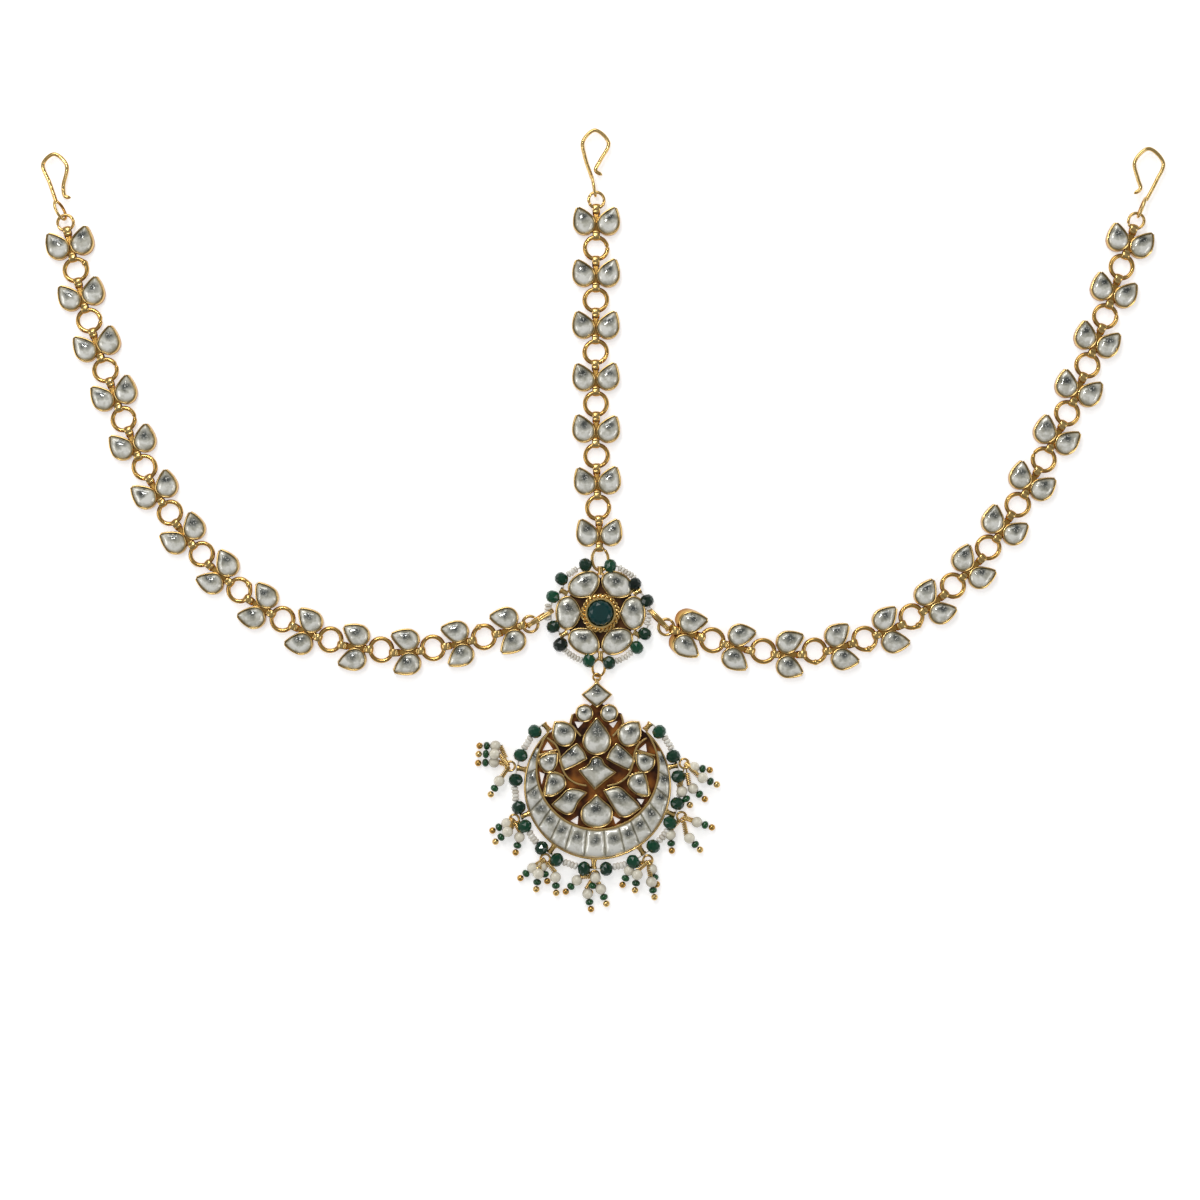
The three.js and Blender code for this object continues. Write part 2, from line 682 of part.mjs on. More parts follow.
/** Crescent between its outer and inner circles, drawn in by a margin. */
function crescentOutline(margin) {
  const { outer, inner, innerUp, outerSteps, innerSteps, tipBlunt } = CRESCENT;
  const outerR = outer - margin;
  const innerR = inner + margin;
  const shift = new THREE.Vector2(0, innerUp);
  const meeting = Math.asin((outerR ** 2 + innerUp ** 2 - innerR ** 2) / (2 * outerR * innerUp));
  const from = 180 - deg(meeting) + tipBlunt;
  const tip = polar(outerR, from).sub(shift);
  const innerFrom = deg(tip.angle());
  const arc = (radius, start, steps) =>
    Array.from({ length: steps + 1 }, (_, i) =>
      polar(radius, start + ((540 - 2 * start) * i) / steps));
  return [
    ...arc(outerR, from, outerSteps),
    ...arc(innerR, innerFrom, innerSteps).map((point) => point.add(shift)).reverse(),
  ];
}

/** Floor behind the pendant's stones, with its pierced triangles. */
function pendantFloor() {
  const left = points2(FLOOR.half.slice(1, -1)).map(({ x, y }) => new THREE.Vector2(-x, y));
  const right = points2(FLOOR.half).reverse();
  const plate = prism([...right, ...left], 0, FLOOR.height);
  return FLOOR.pierced.reduce((whole, corners) => {
    return whole.subtract(prism(points2(corners), -PAST, FLOOR.height + PAST));
  }, plate);
}

/** Metal of the pendant, one soldered solid: floor, bezels, crescent trough, lugs and bail. */
function pendantFrame() {
  const { lugReach, slotFrom } = CRESCENT_STRING;
  let body = prism(crescentOutline(0), 0, RIM).add(pendantFloor());
  for (const stone of PENDANT_STONES) {
    body = body.add(prism(offset(stoneOutline(stone), GAP + BEZEL), 0, RIM));
  }
  for (const angle of CRESCENT_STRING.lugAngles) {
    const piece = lug(CRESCENT.outer - BEZEL, lugReach, slotFrom, CRESCENT_STRING.z);
    body = body.add(moved(piece, 0, 0, 0, angle - 90));
  }
  body = body.add(lug(BAIL.from, BAIL.reach, BAIL.slotFrom, ROSETTE_STRING.z));
  body = body.subtract(prism(crescentOutline(BEZEL), SEAT, RIM + PAST));
  for (const stone of PENDANT_STONES) {
    body = body.subtract(prism(offset(stoneOutline(stone), GAP), SEAT, RIM + PAST));
  }
  return body;
}

const pendantStone = (row) => setStone(stoneOutline({ ...row, x: 0, y: 0 }));

/** Crescent's field of stones, one strip in the trough. */
const crescentStones = () => prism(crescentOutline(BEZEL + GAP), SEAT + GAP, STONE.crown);

// ---------------------------------------------------------------- fringe

/** One drop: ball, glass bead, pearl and wrapped wire as a strip of revolution along +X. */
function drop(length) {
  const { profile, sides } = DROP;
  const points = [
    new THREE.Vector2(0, 0),
    ...profile.map(({ at, radius }) => new THREE.Vector2(radius, at)),
    new THREE.Vector2(0, length),
  ];
  const lie = new THREE.Matrix4().makeRotationZ(rad(90)).setPosition(length, 0, 0);
  return solidOf(new THREE.LatheGeometry(points, sides), lie);
}

/** Bundle of drops fused to the head that gathers them, its origin at the head's centre. */
function fringeBundle({ bearings, lengths }) {
  const { head } = DROP;
  const cap = new THREE.CylinderGeometry(head.radius, head.radius, head.height, head.sides);
  return join([
    solidOf(cap, new THREE.Matrix4().makeRotationX(rad(90))),
    ...lengths.map((length, i) => moved(drop(length), 0, 0, 0, bearings[i])),
  ]);
}

// ---------------------------------------------------------------- the object

const finish = (color, metalness, roughness) =>
  new THREE.MeshStandardMaterial({ color, metalness, roughness });
const gold = finish(0xd8a545, 1.0, 0.28);
const kundan = finish(0xd9d6c8, 0.1, 0.12);
const greenGlass = finish(0x0f4a3c, 0.0, 0.08);
const pearl = finish(0xe6e0cc, 0.0, 0.3);

function piece(name, solid, material, place = { x: 0, y: 0, z: 0 }, turn = 0) {
  const mesh = new THREE.Mesh(geometryOf(solid), material);
  mesh.name = name;
  mesh.position.set(place.x, place.y, place.z ?? 0);
  mesh.rotation.z = rad(turn);
  return mesh;
}

const matha = new THREE.Group();

for (const side of ["left", "centre", "right"]) {
  matha.add(piece(`hook_${side}`, hook(HOOKS[side]), gold, hookPlace(side)));
  matha.add(piece(`chain_${side}`, wholeChain(side), gold));
}

matha.add(piece("rosette_setting", rosetteSetting(), gold));
matha.add(piece("rosette_centre_stone", centreStone(), greenGlass));
for (let i = 0; i < ROSETTE.petals; i += 1) {
  const turn = (i * 360) / ROSETTE.petals - 90;
  matha.add(piece(`rosette_petal_stone_${i + 1}`, petalStone(), kundan, undefined, turn));
}
matha.add(piece("rosette_bead_string", rosetteString(), greenGlass));
const pendantRing = ring(PENDANT_RING.radius, PENDANT_RING.radius, PENDANT_RING.wire);
matha.add(piece("pendant_ring", pendantRing, gold, { ...PENDANT_RING, z: ROSETTE_STRING.z }));

const pendant = new THREE.Group();
pendant.position.set(PENDANT.x, PENDANT.y, 0);
pendant.add(piece("pendant_frame", pendantFrame(), gold));
for (const row of PENDANT_STONES) {
  pendant.add(piece(row.node, pendantStone(row), kundan, row));
}
pendant.add(piece("crescent_stones", crescentStones(), kundan));
pendant.add(piece("crescent_bead_string", crescentString(), greenGlass));
FRINGE.forEach((row, i) => {
  const at = polar(CRESCENT_STRING.lugReach + GAP + DROP.head.radius, row.lug);
  const place = { x: at.x, y: at.y, z: DROP.z };
  pendant.add(piece(`fringe_${i + 1}`, fringeBundle(row), pearl, place));
});
matha.add(pendant);

export default matha;
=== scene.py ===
# %% [markdown]
# # A matha patti, a forehead ornament of chains, a rosette and a crescent pendant
#
# The frame gives every rigid piece its place. Each step makes one kind of part in its finish, as
# surfaces worked out on grids with numpy, and lets it stand for the plain solid. Lengths are in
# millimetres, as a jeweller measures, until a mesh is made in metres.

import bpy
import numpy as np
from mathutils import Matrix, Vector
from mathutils.geometry import tessellate_polygon


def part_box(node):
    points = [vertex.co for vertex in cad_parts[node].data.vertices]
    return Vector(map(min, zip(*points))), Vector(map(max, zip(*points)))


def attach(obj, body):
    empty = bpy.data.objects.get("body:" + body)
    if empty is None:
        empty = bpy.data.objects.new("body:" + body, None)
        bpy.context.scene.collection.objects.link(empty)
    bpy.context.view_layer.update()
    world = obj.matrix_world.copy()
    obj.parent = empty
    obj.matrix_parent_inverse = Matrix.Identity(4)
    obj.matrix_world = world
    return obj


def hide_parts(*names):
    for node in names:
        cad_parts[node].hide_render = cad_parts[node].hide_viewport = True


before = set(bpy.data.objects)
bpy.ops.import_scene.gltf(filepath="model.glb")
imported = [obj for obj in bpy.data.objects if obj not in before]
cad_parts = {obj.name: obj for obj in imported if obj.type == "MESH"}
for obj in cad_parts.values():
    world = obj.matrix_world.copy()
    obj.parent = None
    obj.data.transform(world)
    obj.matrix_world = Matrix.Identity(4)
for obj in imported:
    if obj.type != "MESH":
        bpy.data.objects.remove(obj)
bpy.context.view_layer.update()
MM = 0.001
dice = np.random.default_rng(7)

# %% [markdown]
# ## The camera
#
# The ornament lies face up, so the camera looks straight down at it. A long lens a good way off
# keeps the far links as round as the near ones. Its distance is frame width x lens / sensor.

# %% Camera
LENS, SENSOR, FRAME_WIDTH = 85.0, 36.0, 324.0
AIM = (-0.14, 3.5)
data = bpy.data.cameras.new("camera")
data.lens, data.sensor_width = LENS, SENSOR
camera = bpy.data.objects.new("camera", data)
camera.location = (AIM[0] * MM, AIM[1] * MM, FRAME_WIDTH * LENS / SENSOR * MM)
bpy.context.collection.objects.link(camera)
bpy.context.scene.camera = camera
print("camera height in m:", round(camera.location.z, 3))

# %% [markdown]
# ## Shapes as grids of points
#
# Every part is a stack of rings, each a closed row of points joined to the next ring's. The two
# ends close in a middle point, or join each other where the part is itself a ring. A signed
# volume tells whether the faces look outwards, and turns them if they don't.


# %% Gathering surfaces into one piece
SHARP_EDGE = 38  # degrees between faces, for a crisp edge


class Gather:
    """Closed surfaces that become one mesh. Each has one shade or one for each ring, and one place
    on its stone or one for each point of its rings."""

    def __init__(self):
        self.points, self.triangles, self.shades, self.places, self.count = [], [], [], [], 0

    def add(self, rings, wrap=False, shade=0.5, place=(0.0, 0.0)):
        """Triangles (k,i) (k,i+1) (k+1,i) and (k,i+1) (k+1,i+1) (k+1,i) for ring k, point i."""
        rings = np.asarray(rings, float)
        layers, around = rings.shape[:2]
        points = rings.reshape(-1, 3)
        i = np.arange(around)
        j = (i + 1) % around
        k = np.arange(layers if wrap else layers - 1)[:, None]
        low, high = k * around, (k + 1) % layers * around
        a, b, c, d = low + i, low + j, high + j, high + i
        faces = [np.stack([a, b, d], -1).reshape(-1, 3), np.stack([b, c, d], -1).reshape(-1, 3)]
        if not wrap:
            top = (layers - 1) * around
            middles = np.array([rings[0].mean(0), rings[-1].mean(0)])
            points = np.vstack([points, middles])
            first, last = np.full(around, layers * around), np.full(around, layers * around + 1)
            faces += [np.stack([j, i, first], -1), np.stack([top + i, top + j, last], -1)]
        faces = np.vstack(faces)
        x, y, z = (points[faces[:, n]] for n in range(3))
        if np.einsum("ij,ij->i", x, np.cross(y, z)).sum() < 0:
            faces = faces[:, ::-1]
        rows = np.broadcast_to(shade, layers)
        shade = np.repeat(rows, around)
        if not wrap:
            shade = np.append(shade, [rows[0], rows[-1]])
        if np.ndim(place) == 2:
            rows = place.reshape(layers, around, 2)
            place = np.vstack([place, rows[0].mean(0), rows[-1].mean(0)])
        self.add_mesh(points, faces, shade, place)

    def add_mesh(self, points, triangles, shade=0.5, place=(0.0, 0.0)):
        """Closed mesh given as its points and outward triangles."""
        self.points.append(points)
        self.triangles.append(triangles + self.count)
        self.shades.append(np.broadcast_to(shade, len(points)))
        self.places.append(np.broadcast_to(place, (len(points), 2)))
        self.count += len(points)

    def piece(self, name, material, slot, *nodes, smooth=True):
        """One object from all that was gathered, in metres, riding on the only body."""
        points = np.vstack(self.points) * MM
        triangles = np.vstack(self.triangles)
        mesh = bpy.data.meshes.new(name)
        mesh.from_pydata(points.tolist(), [], triangles.tolist())
        mesh.update()
        mesh.polygons.foreach_set("use_smooth", np.full(len(triangles), smooth))
        if smooth:
            mesh.set_sharp_from_angle(angle=np.radians(SHARP_EDGE))
        shade = mesh.attributes.new("shade", "FLOAT", "POINT")
        shade.data.foreach_set("value", np.concatenate(self.shades).astype(np.float32))
        layer = mesh.uv_layers.new(name="stone")
        layer.data.foreach_set("uv", np.vstack(self.places)[triangles.ravel()].ravel())
        mesh.materials.append(material)
        made = bpy.data.objects.new(name, mesh)
        bpy.context.collection.objects.link(made)
        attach(made, "root")
        if nodes:
            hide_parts(*nodes)
        low, high = points[:, 2].min() / MM, points[:, 2].max() / MM
        print(f"{name}: {len(triangles)} triangles, from {low:.2f} to {high:.2f} mm high")
        return made


# %% Outlines, sweeps and small helpers
TINY = 1e-12  # against a division by nothing


def unit(vectors, least=0.0):
    """v / (|v| + least) along the last axis."""
    vectors = np.asarray(vectors, float)
    return vectors / (np.linalg.norm(vectors, axis=-1, keepdims=True) + least)


def turn(points, degrees):
    """x' = x cos - y sin and y' = x sin + y cos."""
    c, s = np.cos(np.radians(degrees)), np.sin(np.radians(degrees))
    return np.asarray(points, float) @ np.array([[c, s], [-s, c]])


def polar(radius, degrees):
    """Point at a radius and an angle."""
    angle = np.radians(degrees)
    return np.stack([radius * np.cos(angle), radius * np.sin(angle)], -1)


def hermite(t, a, leave, b, arrive):
    """(2t^3-3t^2+1) a + (t^3-2t^2+t) leave + (3t^2-2t^3) b + (t^3-t^2) arrive."""
    return ((2 * t**3 - 3 * t**2 + 1) * a + (t**3 - 2 * t**2 + t) * leave
            + (3 * t**2 - 2 * t**3) * b + (t**3 - t**2) * arrive)


def outline(points, sharp=(), steps=7):
    """Closed Hermite curve: the slope at a point is half the step between its neighbours, and
    at a sharp corner it is the straight line on each side."""
    p = np.asarray(points, float)
    after, before = np.roll(p, -1, 0), np.roll(p, 1, 0)
    leave, arrive = (after - before) / 2, (after - before) / 2
    for n in sharp:
        leave[n], arrive[n] = after[n] - p[n], p[n] - before[n]
    t = (np.arange(steps) / steps)[None, :, None]
    arrive = np.roll(arrive, -1, 0)
    return hermite(t, p[:, None], leave[:, None], after[:, None], arrive[:, None]).reshape(-1, 2)


def grow(shape, distance):
    """Anticlockwise outline moved out along the mean normal of the edges on each side."""
    ahead = unit(np.roll(shape, -1, 0) - shape, TINY)
    behind = np.roll(ahead, 1, 0)
    out = unit(np.stack([ahead[:, 1] + behind[:, 1], -ahead[:, 0] - behind[:, 0]], -1), TINY)
    lean = np.maximum(0.72, out[:, 0] * ahead[:, 1] - out[:, 1] * ahead[:, 0])
    return shape + out * (distance / lean)[:, None]


def level(shape, height):
    """Flat ring of points at one height."""
    return np.column_stack([shape, np.full(len(shape), height)])


def sweep(path, radius, sides=10, normal=(0, 0, 1), closed=False):
    """Rings p + r (cos a side + sin a up) round a path, where side is the path's direction crossed
    with a steady normal, and up is side crossed with the direction."""
    path = np.asarray(path, float)
    steps = np.roll(path, -1, 0) - np.roll(path, 1, 0) if closed else np.gradient(path, axis=0)
    along = unit(steps)
    side = unit(np.cross(along, normal))
    up = np.cross(side, along)
    a = np.linspace(0, 2 * np.pi, sides, endpoint=False)
    radius = np.broadcast_to(radius, len(path))[:, None, None]
    ring = np.cos(a)[None, :, None] * side[:, None] + np.sin(a)[None, :, None] * up[:, None]
    return path[:, None] + radius * ring


def between(at, known, rows):
    """Rows interpolated to other places."""
    return np.stack([np.interp(at, known, column) for column in rows.T], -1)


def through(p, leave, arrive, count):
    """Hermite curve through open points, as points at even distances, and its length."""
    t = np.linspace(0, 1, 60)[None, :, None]
    fine = hermite(t, p[:-1, None], leave[:, None], p[1:, None], arrive[:, None])
    fine = fine.reshape(-1, p.shape[1])
    run = np.concatenate([[0], np.cumsum(np.linalg.norm(np.diff(fine, axis=0), axis=1))])
    return between(np.linspace(0, run[-1], count), run, fine), run[-1]


def spline(points, count):
    """Open Catmull-Rom curve: the slope at a point is half the step between its neighbours."""
    p = np.asarray(points, float)
    q = np.vstack([p[0], p, p[-1]])
    slope = (q[2:] - q[:-2]) / 2
    return through(p, slope[:-1], slope[1:], count)


def springy(points, count):
    """Open curve for bent wire, its knots d = root of each step apart, so that tight bends stay
    near their points: slope = s0 - (p2 - p0) / (d0 + d1) + s1, with s = step / d."""
    p = np.asarray(points, float)
    q = np.vstack([2 * p[0] - p[1], p, 2 * p[-1] - p[-2]])
    d = np.sqrt(np.linalg.norm(np.diff(q, axis=0), axis=1))[:, None]
    s = np.diff(q, axis=0) / d
    slope = s[:-1] - (q[2:] - q[:-2]) / (d[:-1] + d[1:]) + s[1:]
    return through(p, slope[:-1] * d[1:-1], slope[1:] * d[1:-1], count)


def lathe(profile, centre, axis, sides, twist=0.0):
    """Rings from rows of (distance along the axis, radius). Twist turns each by that part of a
    step, which makes triangular facets."""
    axis = unit(axis)
    across = unit(np.cross(axis, (0, 0, 1.0) if abs(axis[2]) < 0.9 else (1.0, 0, 0)))
    third = np.cross(axis, across)
    profile = np.asarray(profile, float)
    step = 2 * np.pi / sides
    a = step * (np.arange(sides)[None] + twist * np.arange(len(profile))[:, None])
    out = np.cos(a)[..., None] * across + np.sin(a)[..., None] * third
    middle = np.asarray(centre, float) + profile[:, :1] * axis
    return middle[:, None] + profile[:, 1, None, None] * out


def ball_profile(radius, half, rows, fullness=1.0):
    """Rows of x = -half cos a and r = radius (sin a)^fullness."""
    a = np.linspace(0.12, np.pi - 0.12, rows)
    return np.stack([-half * np.cos(a), radius * np.sin(a) ** fullness], -1)


# %% [markdown]
# ## Finishes
#
# The metal is brass under a warm gold wash. Its colour is painted by height: pale on the rims as a
# painted highlight, and a burnt orange low in the settings as painted shade and a painted
# reflection of one wall in the other. A colour ramp reads the object's own Z for it. Back plates
# have patches of painted shade above, and the same painted shade tone underneath.
#
# Kundan stones are clear glass on silver foil. Their dark patch above the middle and bright part
# below are a painted reflection, which a ramp on each stone's own coordinates gives, with painted
# glints of light in it.


# %% Node helpers
def new_material(name, **sockets):
    """Principled material with the given sockets, its tree and its shader."""
    material = bpy.data.materials.new(name)
    material.use_nodes = True
    tree = material.node_tree
    shader = tree.nodes["Principled BSDF"]
    for key, value in sockets.items():
        shader.inputs[key.replace("_", " ")].default_value = value
    return material, tree, shader


def node(tree, kind, inputs=(), **settings):
    """Shader node with its settings, and its inputs given as values or as sockets to link."""
    made = tree.nodes.new("ShaderNode" + kind)
    for key, value in settings.items():
        setattr(made, key, value)
    for key, value in dict(inputs).items():
        if isinstance(value, bpy.types.NodeSocket):
            tree.links.new(value, made.inputs[key])
        else:
            made.inputs[key].default_value = value
    return made


def ramp(tree, source, stops):
    """Colour ramp with (position, colour) stops."""
    made = node(tree, "ValToRGB", {"Fac": source})
    while len(made.color_ramp.elements) < len(stops):
        made.color_ramp.elements.new(0.5)
    for element, (position, colour) in zip(made.color_ramp.elements, stops, strict=True):
        element.position, element.color = position, (*colour, 1.0)
    return made.outputs["Color"]


def mix(tree, share, a, b, blend="MIX"):
    """a x (1 - share) + b x share, or a x b with MULTIPLY at a full share."""
    inputs = {0: share, 6: a, 7: b}
    return node(tree, "Mix", inputs, data_type="RGBA", blend_type=blend).outputs[2]


def maths(tree, operation, *values):
    """Result of a sum; MULTIPLY_ADD is a x b + c."""
    made = node(tree, "Math", dict(enumerate(values)), operation=operation)
    return made.outputs["Value"]


def own_point(tree):
    """The point in the object's own coordinates, in metres."""
    return node(tree, "TexCoord").outputs["Object"]


def rise(tree, where, low, high):
    """(height - low) / (high - low), kept between 0 and 1, with low and high in mm."""
    height = node(tree, "SeparateXYZ", {"Vector": where}).outputs["Z"]
    inputs = {"Value": height, "From Min": low * MM, "From Max": high * MM}
    return node(tree, "MapRange", inputs).outputs["Result"]


def noise(tree, source, scale, detail=3.0):
    """Noise value at so many waves a metre."""
    made = node(tree, "TexNoise", {"Vector": source, "Scale": scale, "Detail": detail})
    return made.outputs["Fac"]


def bump(tree, shader, height, strength):
    """Bump into the shader's normal, BUMP_DEPTH metres deep at full strength."""
    inputs = {"Height": height, "Strength": strength, "Distance": BUMP_DEPTH}
    tree.links.new(node(tree, "Bump", inputs).outputs["Normal"], shader.inputs["Normal"])


# %% Gold
BUMP_DEPTH = 0.00012
BLACK, WHITE = (0, 0, 0), (1, 1, 1)
# Painted shade low down, plain gold, and a painted highlight on the rims
SHADE_GOLD, GOLD, HIGHLIGHT_GOLD = (0.38, 0.16, 0.028), (0.66, 0.405, 0.115), (0.83, 0.6, 0.25)


def make_gold(name, low, high, roughness):
    """A burnt orange painted shade up to height low, GOLD three quarters of the way to height high,
    and a pale painted highlight above it, times a cloud of slight tarnish."""
    material, tree, shader = new_material(name, Metallic=1.0, Roughness=roughness)
    where = own_point(tree)
    # painted by height: shade low in the settings, highlight on the rims
    tone = ramp(tree, rise(tree, where, low, high), [(0.0, SHADE_GOLD), (0.75, GOLD), (1.0, HIGHLIGHT_GOLD)])
    cloud = ramp(tree, noise(tree, where, 420.0), [(0.3, (0.84, 0.78, 0.68)), (0.7, WHITE)])
    tree.links.new(mix(tree, 1.0, tone, cloud, "MULTIPLY"), shader.inputs["Base Color"])
    bump(tree, shader, noise(tree, where, 900.0), 0.25)
    return material


wire_gold = make_gold("wire gold", 0.2, 2.4, 0.19)
set_gold = make_gold("setting gold", 0.6, 2.6, 0.24)

# %% Recess floors, stones, beads and pearls
# From BACK_LOW to BACK_HIGH a back plate goes from the settings' painted shade tone to patches of
# painted shade
BACK_LOW, BACK_HIGH = 0.3, 0.5  # mm, where plain gold gives way to patches


def make_shaded_plate(name, dark, middle, light):
    """Back plate: the painted shade tone of the settings below, and slow patches of painted shade
    in three tones above.
    """
    material, tree, shader = new_material(name, Metallic=0.55, Roughness=0.38)
    where = own_point(tree)
    tone = ramp(tree, noise(tree, where, 230.0, 2.0), [(0.36, dark), (0.5, middle), (0.66, light)])
    # the painted shade tone below, the painted shade patches above
    both = mix(tree, rise(tree, where, BACK_LOW, BACK_HIGH), (*SHADE_GOLD, 1), tone)
    tree.links.new(both, shader.inputs["Base Color"])
    return material


def make_kundan():
    """Silvery glass with a painted reflection: distance from a point above the middle, roughened by
    noise, sets the tone from dark grey out to cream. Streaks darken it, small painted glints lie in
    its dark part, and a high kept shade darkens its bevel and edge as painted shade."""
    material, tree, shader = new_material(
        "kundan stone", Metallic=0.12, Roughness=0.12, Coat_Weight=1.0, Coat_Roughness=0.03)
    place = node(tree, "UVMap", uv_map="stone").outputs["UV"]
    centre = node(tree, "Mapping", {
        "Vector": place, "Location": (0.0, -0.36, 0.0), "Scale": (0.78, 1.0, 1.0)})
    reflection_reach = node(tree, "VectorMath", {0: centre.outputs["Vector"]},
               operation="LENGTH").outputs["Value"]
    where = own_point(tree)
    # painted reflection: dark grey above the middle, bright cream lower down
    ragged_reflection = maths(tree, "MULTIPLY_ADD", noise(tree, where, 650.0, 4.0), 0.75, reflection_reach)
    tone = ramp(tree, ragged_reflection, [
        (0.44, (0.06, 0.068, 0.064)), (0.58, (0.17, 0.18, 0.16)), (0.74, (0.46, 0.455, 0.4)),
        (0.94, (0.82, 0.81, 0.72)), (1.0, (1.0, 0.99, 0.92))])
    streaks = noise(tree, where, 520.0, 5.0)
    streaks = ramp(tree, streaks, [(0.36, (0.68, 0.67, 0.62)), (0.54, WHITE)])
    tone = mix(tree, 1.0, tone, streaks, "MULTIPLY")
    # painted glints: small bright specks in the dark patch
    painted_glints = ramp(tree, noise(tree, where, 2600.0, 1.0), [(0.6, BLACK), (0.66, WHITE)])
    glint_area = ramp(tree, reflection_reach, [(0.18, WHITE), (0.38, BLACK)])
    tone = mix(tree, maths(tree, "MULTIPLY", painted_glints, glint_area), tone, (0.9, 0.88, 0.8, 1))
    shade = node(tree, "Attribute", attribute_name="shade").outputs["Fac"]
    # painted shade: the kept shade darkens the bevel and edge
    edge = [(0.72, WHITE), (0.86, (0.78, 0.76, 0.68)), (0.98, (0.3, 0.27, 0.2))]
    tone = mix(tree, 1.0, tone, ramp(tree, shade, edge), "MULTIPLY")
    tree.links.new(tone, shader.inputs["Base Color"])
    bump(tree, shader, noise(tree, where, 800.0), 0.2)
    return material


def make_glass(name, dark, light, roughness, grain=600.0, coat=0.6):
    """Glass with a clear coat of that weight, between two tones by 0.4 x a fine cloud + the kept
    shade of each bead or of its rings."""
    material, tree, shader = new_material(
        name, Roughness=roughness, Coat_Weight=coat, Coat_Roughness=0.04)
    shade = node(tree, "Attribute", attribute_name="shade").outputs["Fac"]
    cloudy = maths(tree, "MULTIPLY_ADD", noise(tree, own_point(tree), grain), 0.4, shade)
    tone = ramp(tree, cloudy, [(0.15, dark), (1.15 / 1.2, light)])
    tree.links.new(tone, shader.inputs["Base Color"])
    return material


# Both back plates are painted dark as shade between the cups, the rosette's near black
recess = make_shaded_plate("recess", (0.04, 0.011, 0.003), (0.18, 0.055, 0.009), (0.48, 0.18, 0.03))
gap_shade_plate = make_shaded_plate("dark recess", (0.02, 0.007, 0.002), (0.06, 0.022, 0.006),
                          (0.14, 0.055, 0.012))
kundan = make_kundan()
emerald = make_glass("emerald glass", (0.0004, 0.004, 0.002), (0.0008, 0.07, 0.03), 0.1, coat=0.2)
teal = make_glass("teal glass", (0.0005, 0.012, 0.014), (0.002, 0.06, 0.056), 0.1, 300.0, 0.0)
bottle = make_glass("bottle green glass", (0.0, 0.01, 0.002), (0.0, 0.085, 0.016), 0.06, coat=0.4)
milk = make_glass("milk white glass", (0.55, 0.48, 0.38), (0.98, 0.95, 0.87), 0.2, 900.0)
pearly = make_glass("pearl", (0.16, 0.12, 0.06), (0.92, 0.86, 0.7), 0.16, 450.0, 1.0)
print("materials:", [material.name for material in bpy.data.materials])

# %% [markdown]
# ## Settings and stones
#
# A kundan setting is a shallow cup of thin sheet, its lip burnished over the stone. As a stack of
# rings it starts at the middle of the back, goes out, up the wall, over the lip and down inside,
# and closes at the middle of the floor. The stone is a low dome with a bevel at its edge.

# %% Cup and stone
BEZEL, SEAT, RIM, STONE_FOOT = 0.46, 0.9, 2.6, 1.0
CUP_WALL = [(BEZEL - 0.1, 0.0), (BEZEL, 0.12), (BEZEL, RIM - 0.5), (BEZEL - 0.06, RIM - 0.22),
            (BEZEL * 0.68, RIM - 0.04), (BEZEL * 0.42, RIM), (BEZEL * 0.15, RIM - 0.07),
            (0.0, RIM - 0.28), (0.0, SEAT)]


def cup(gather, shape, place=(0.0, 0.0)):
    """Rings at (outward distance d, height z) round the stone's outline, and shrunken ones at
    the back and floor."""
    shape = shape + np.asarray(place)
    middle = shape.mean(0)
    small = middle + (shape - middle) * 0.3
    walls = [level(grow(shape, d), z) for d, z in CUP_WALL]
    gather.add([level(small, 0.0), *walls, level(small, SEAT)])


def stone(gather, shape, top=3.1, edge=2.2, place=(0.0, 0.0), bevel=0.78, size=None, dark=1.0):
    """Dome z = edge + (top - edge) x (1 - 0.42 (s / bevel)^2.4) over the outline shrunk to share
    s, pushed about a little by a slow wave, as on stones cut by hand. The share times dark is
    kept as the shade that the stone's material turns into painted shade at the edge."""
    shape = shape + np.asarray(place)
    middle = shape.mean(0)
    reach = shape - middle
    size = np.abs(reach).max(0) * 0.95 if size is None else size
    angle = np.arctan2(reach[:, 1], reach[:, 0])[:, None]
    phase = dice.uniform(0, 6.28, 2)
    shares = np.array([1.0, 1.0, bevel + 0.06, bevel, 0.6, 0.42, 0.25, 0.1])
    dome = edge + (top - edge) * (1 - 0.42 * (shares[3:] / bevel) ** 2.4)
    heights = [STONE_FOOT, edge, edge + 0.4 * (top - edge), *dome]
    waves = np.sin(3 * angle + phase[0]) + np.sin(5 * angle + phase[1])
    rings = []
    for share, height in zip(shares, heights, strict=True):
        wave = 0.03 * (share < 0.99) * share * waves
        rings.append(level(middle + reach * (share + wave), height))
    shift = dice.uniform(-0.07, 0.07, 2)
    where = np.vstack([(ring[:, :2] - middle) / size + shift for ring in rings])
    gather.add(rings, place=where, shade=shares * dark)


# %% [markdown]
# ## Chains
#
# A link is two teardrop stones side by side, tips up and out like a butterfly, on a strap with its
# ends bent over the rings. The links are spaced evenly along a smooth route. The rings are drawn
# wire, closed by hand, so some show the cut and some a blob of solder.

# %% Link
TEAR = [(5.35, 4.5), (3.3, 3.5), (1.55, 2.25), (0.5, 1.1), (0.05, -0.5), (0.75, -2.4), (2.6, -3.55),
        (4.75, -3.2), (6.15, -1.6), (6.42, 0.3), (6.1, 2.4)]
WIRE_HEIGHT, WIRE_RADIUS, LINK_RING = 1.4, 0.6, 3.0
STRAP_HALF, STRAP_LONG, STRAP_SHEET, STRAP_FLATTER = 0.8, 3.0, 0.22, 4.6
STRAP_PATH = [(2.0, 1.5), (3.0, 2.2), (3.9, 2.42), (4.6, 2.05), (4.8, 1.4), (4.55, 0.72),
              (3.9, 0.4), (2.6, 0.5)]
COLLAR = [(-0.7, 0.25), (-0.7, 0.45), (0, 0.6), (0.7, 0.45), (0.7, 0.25)]


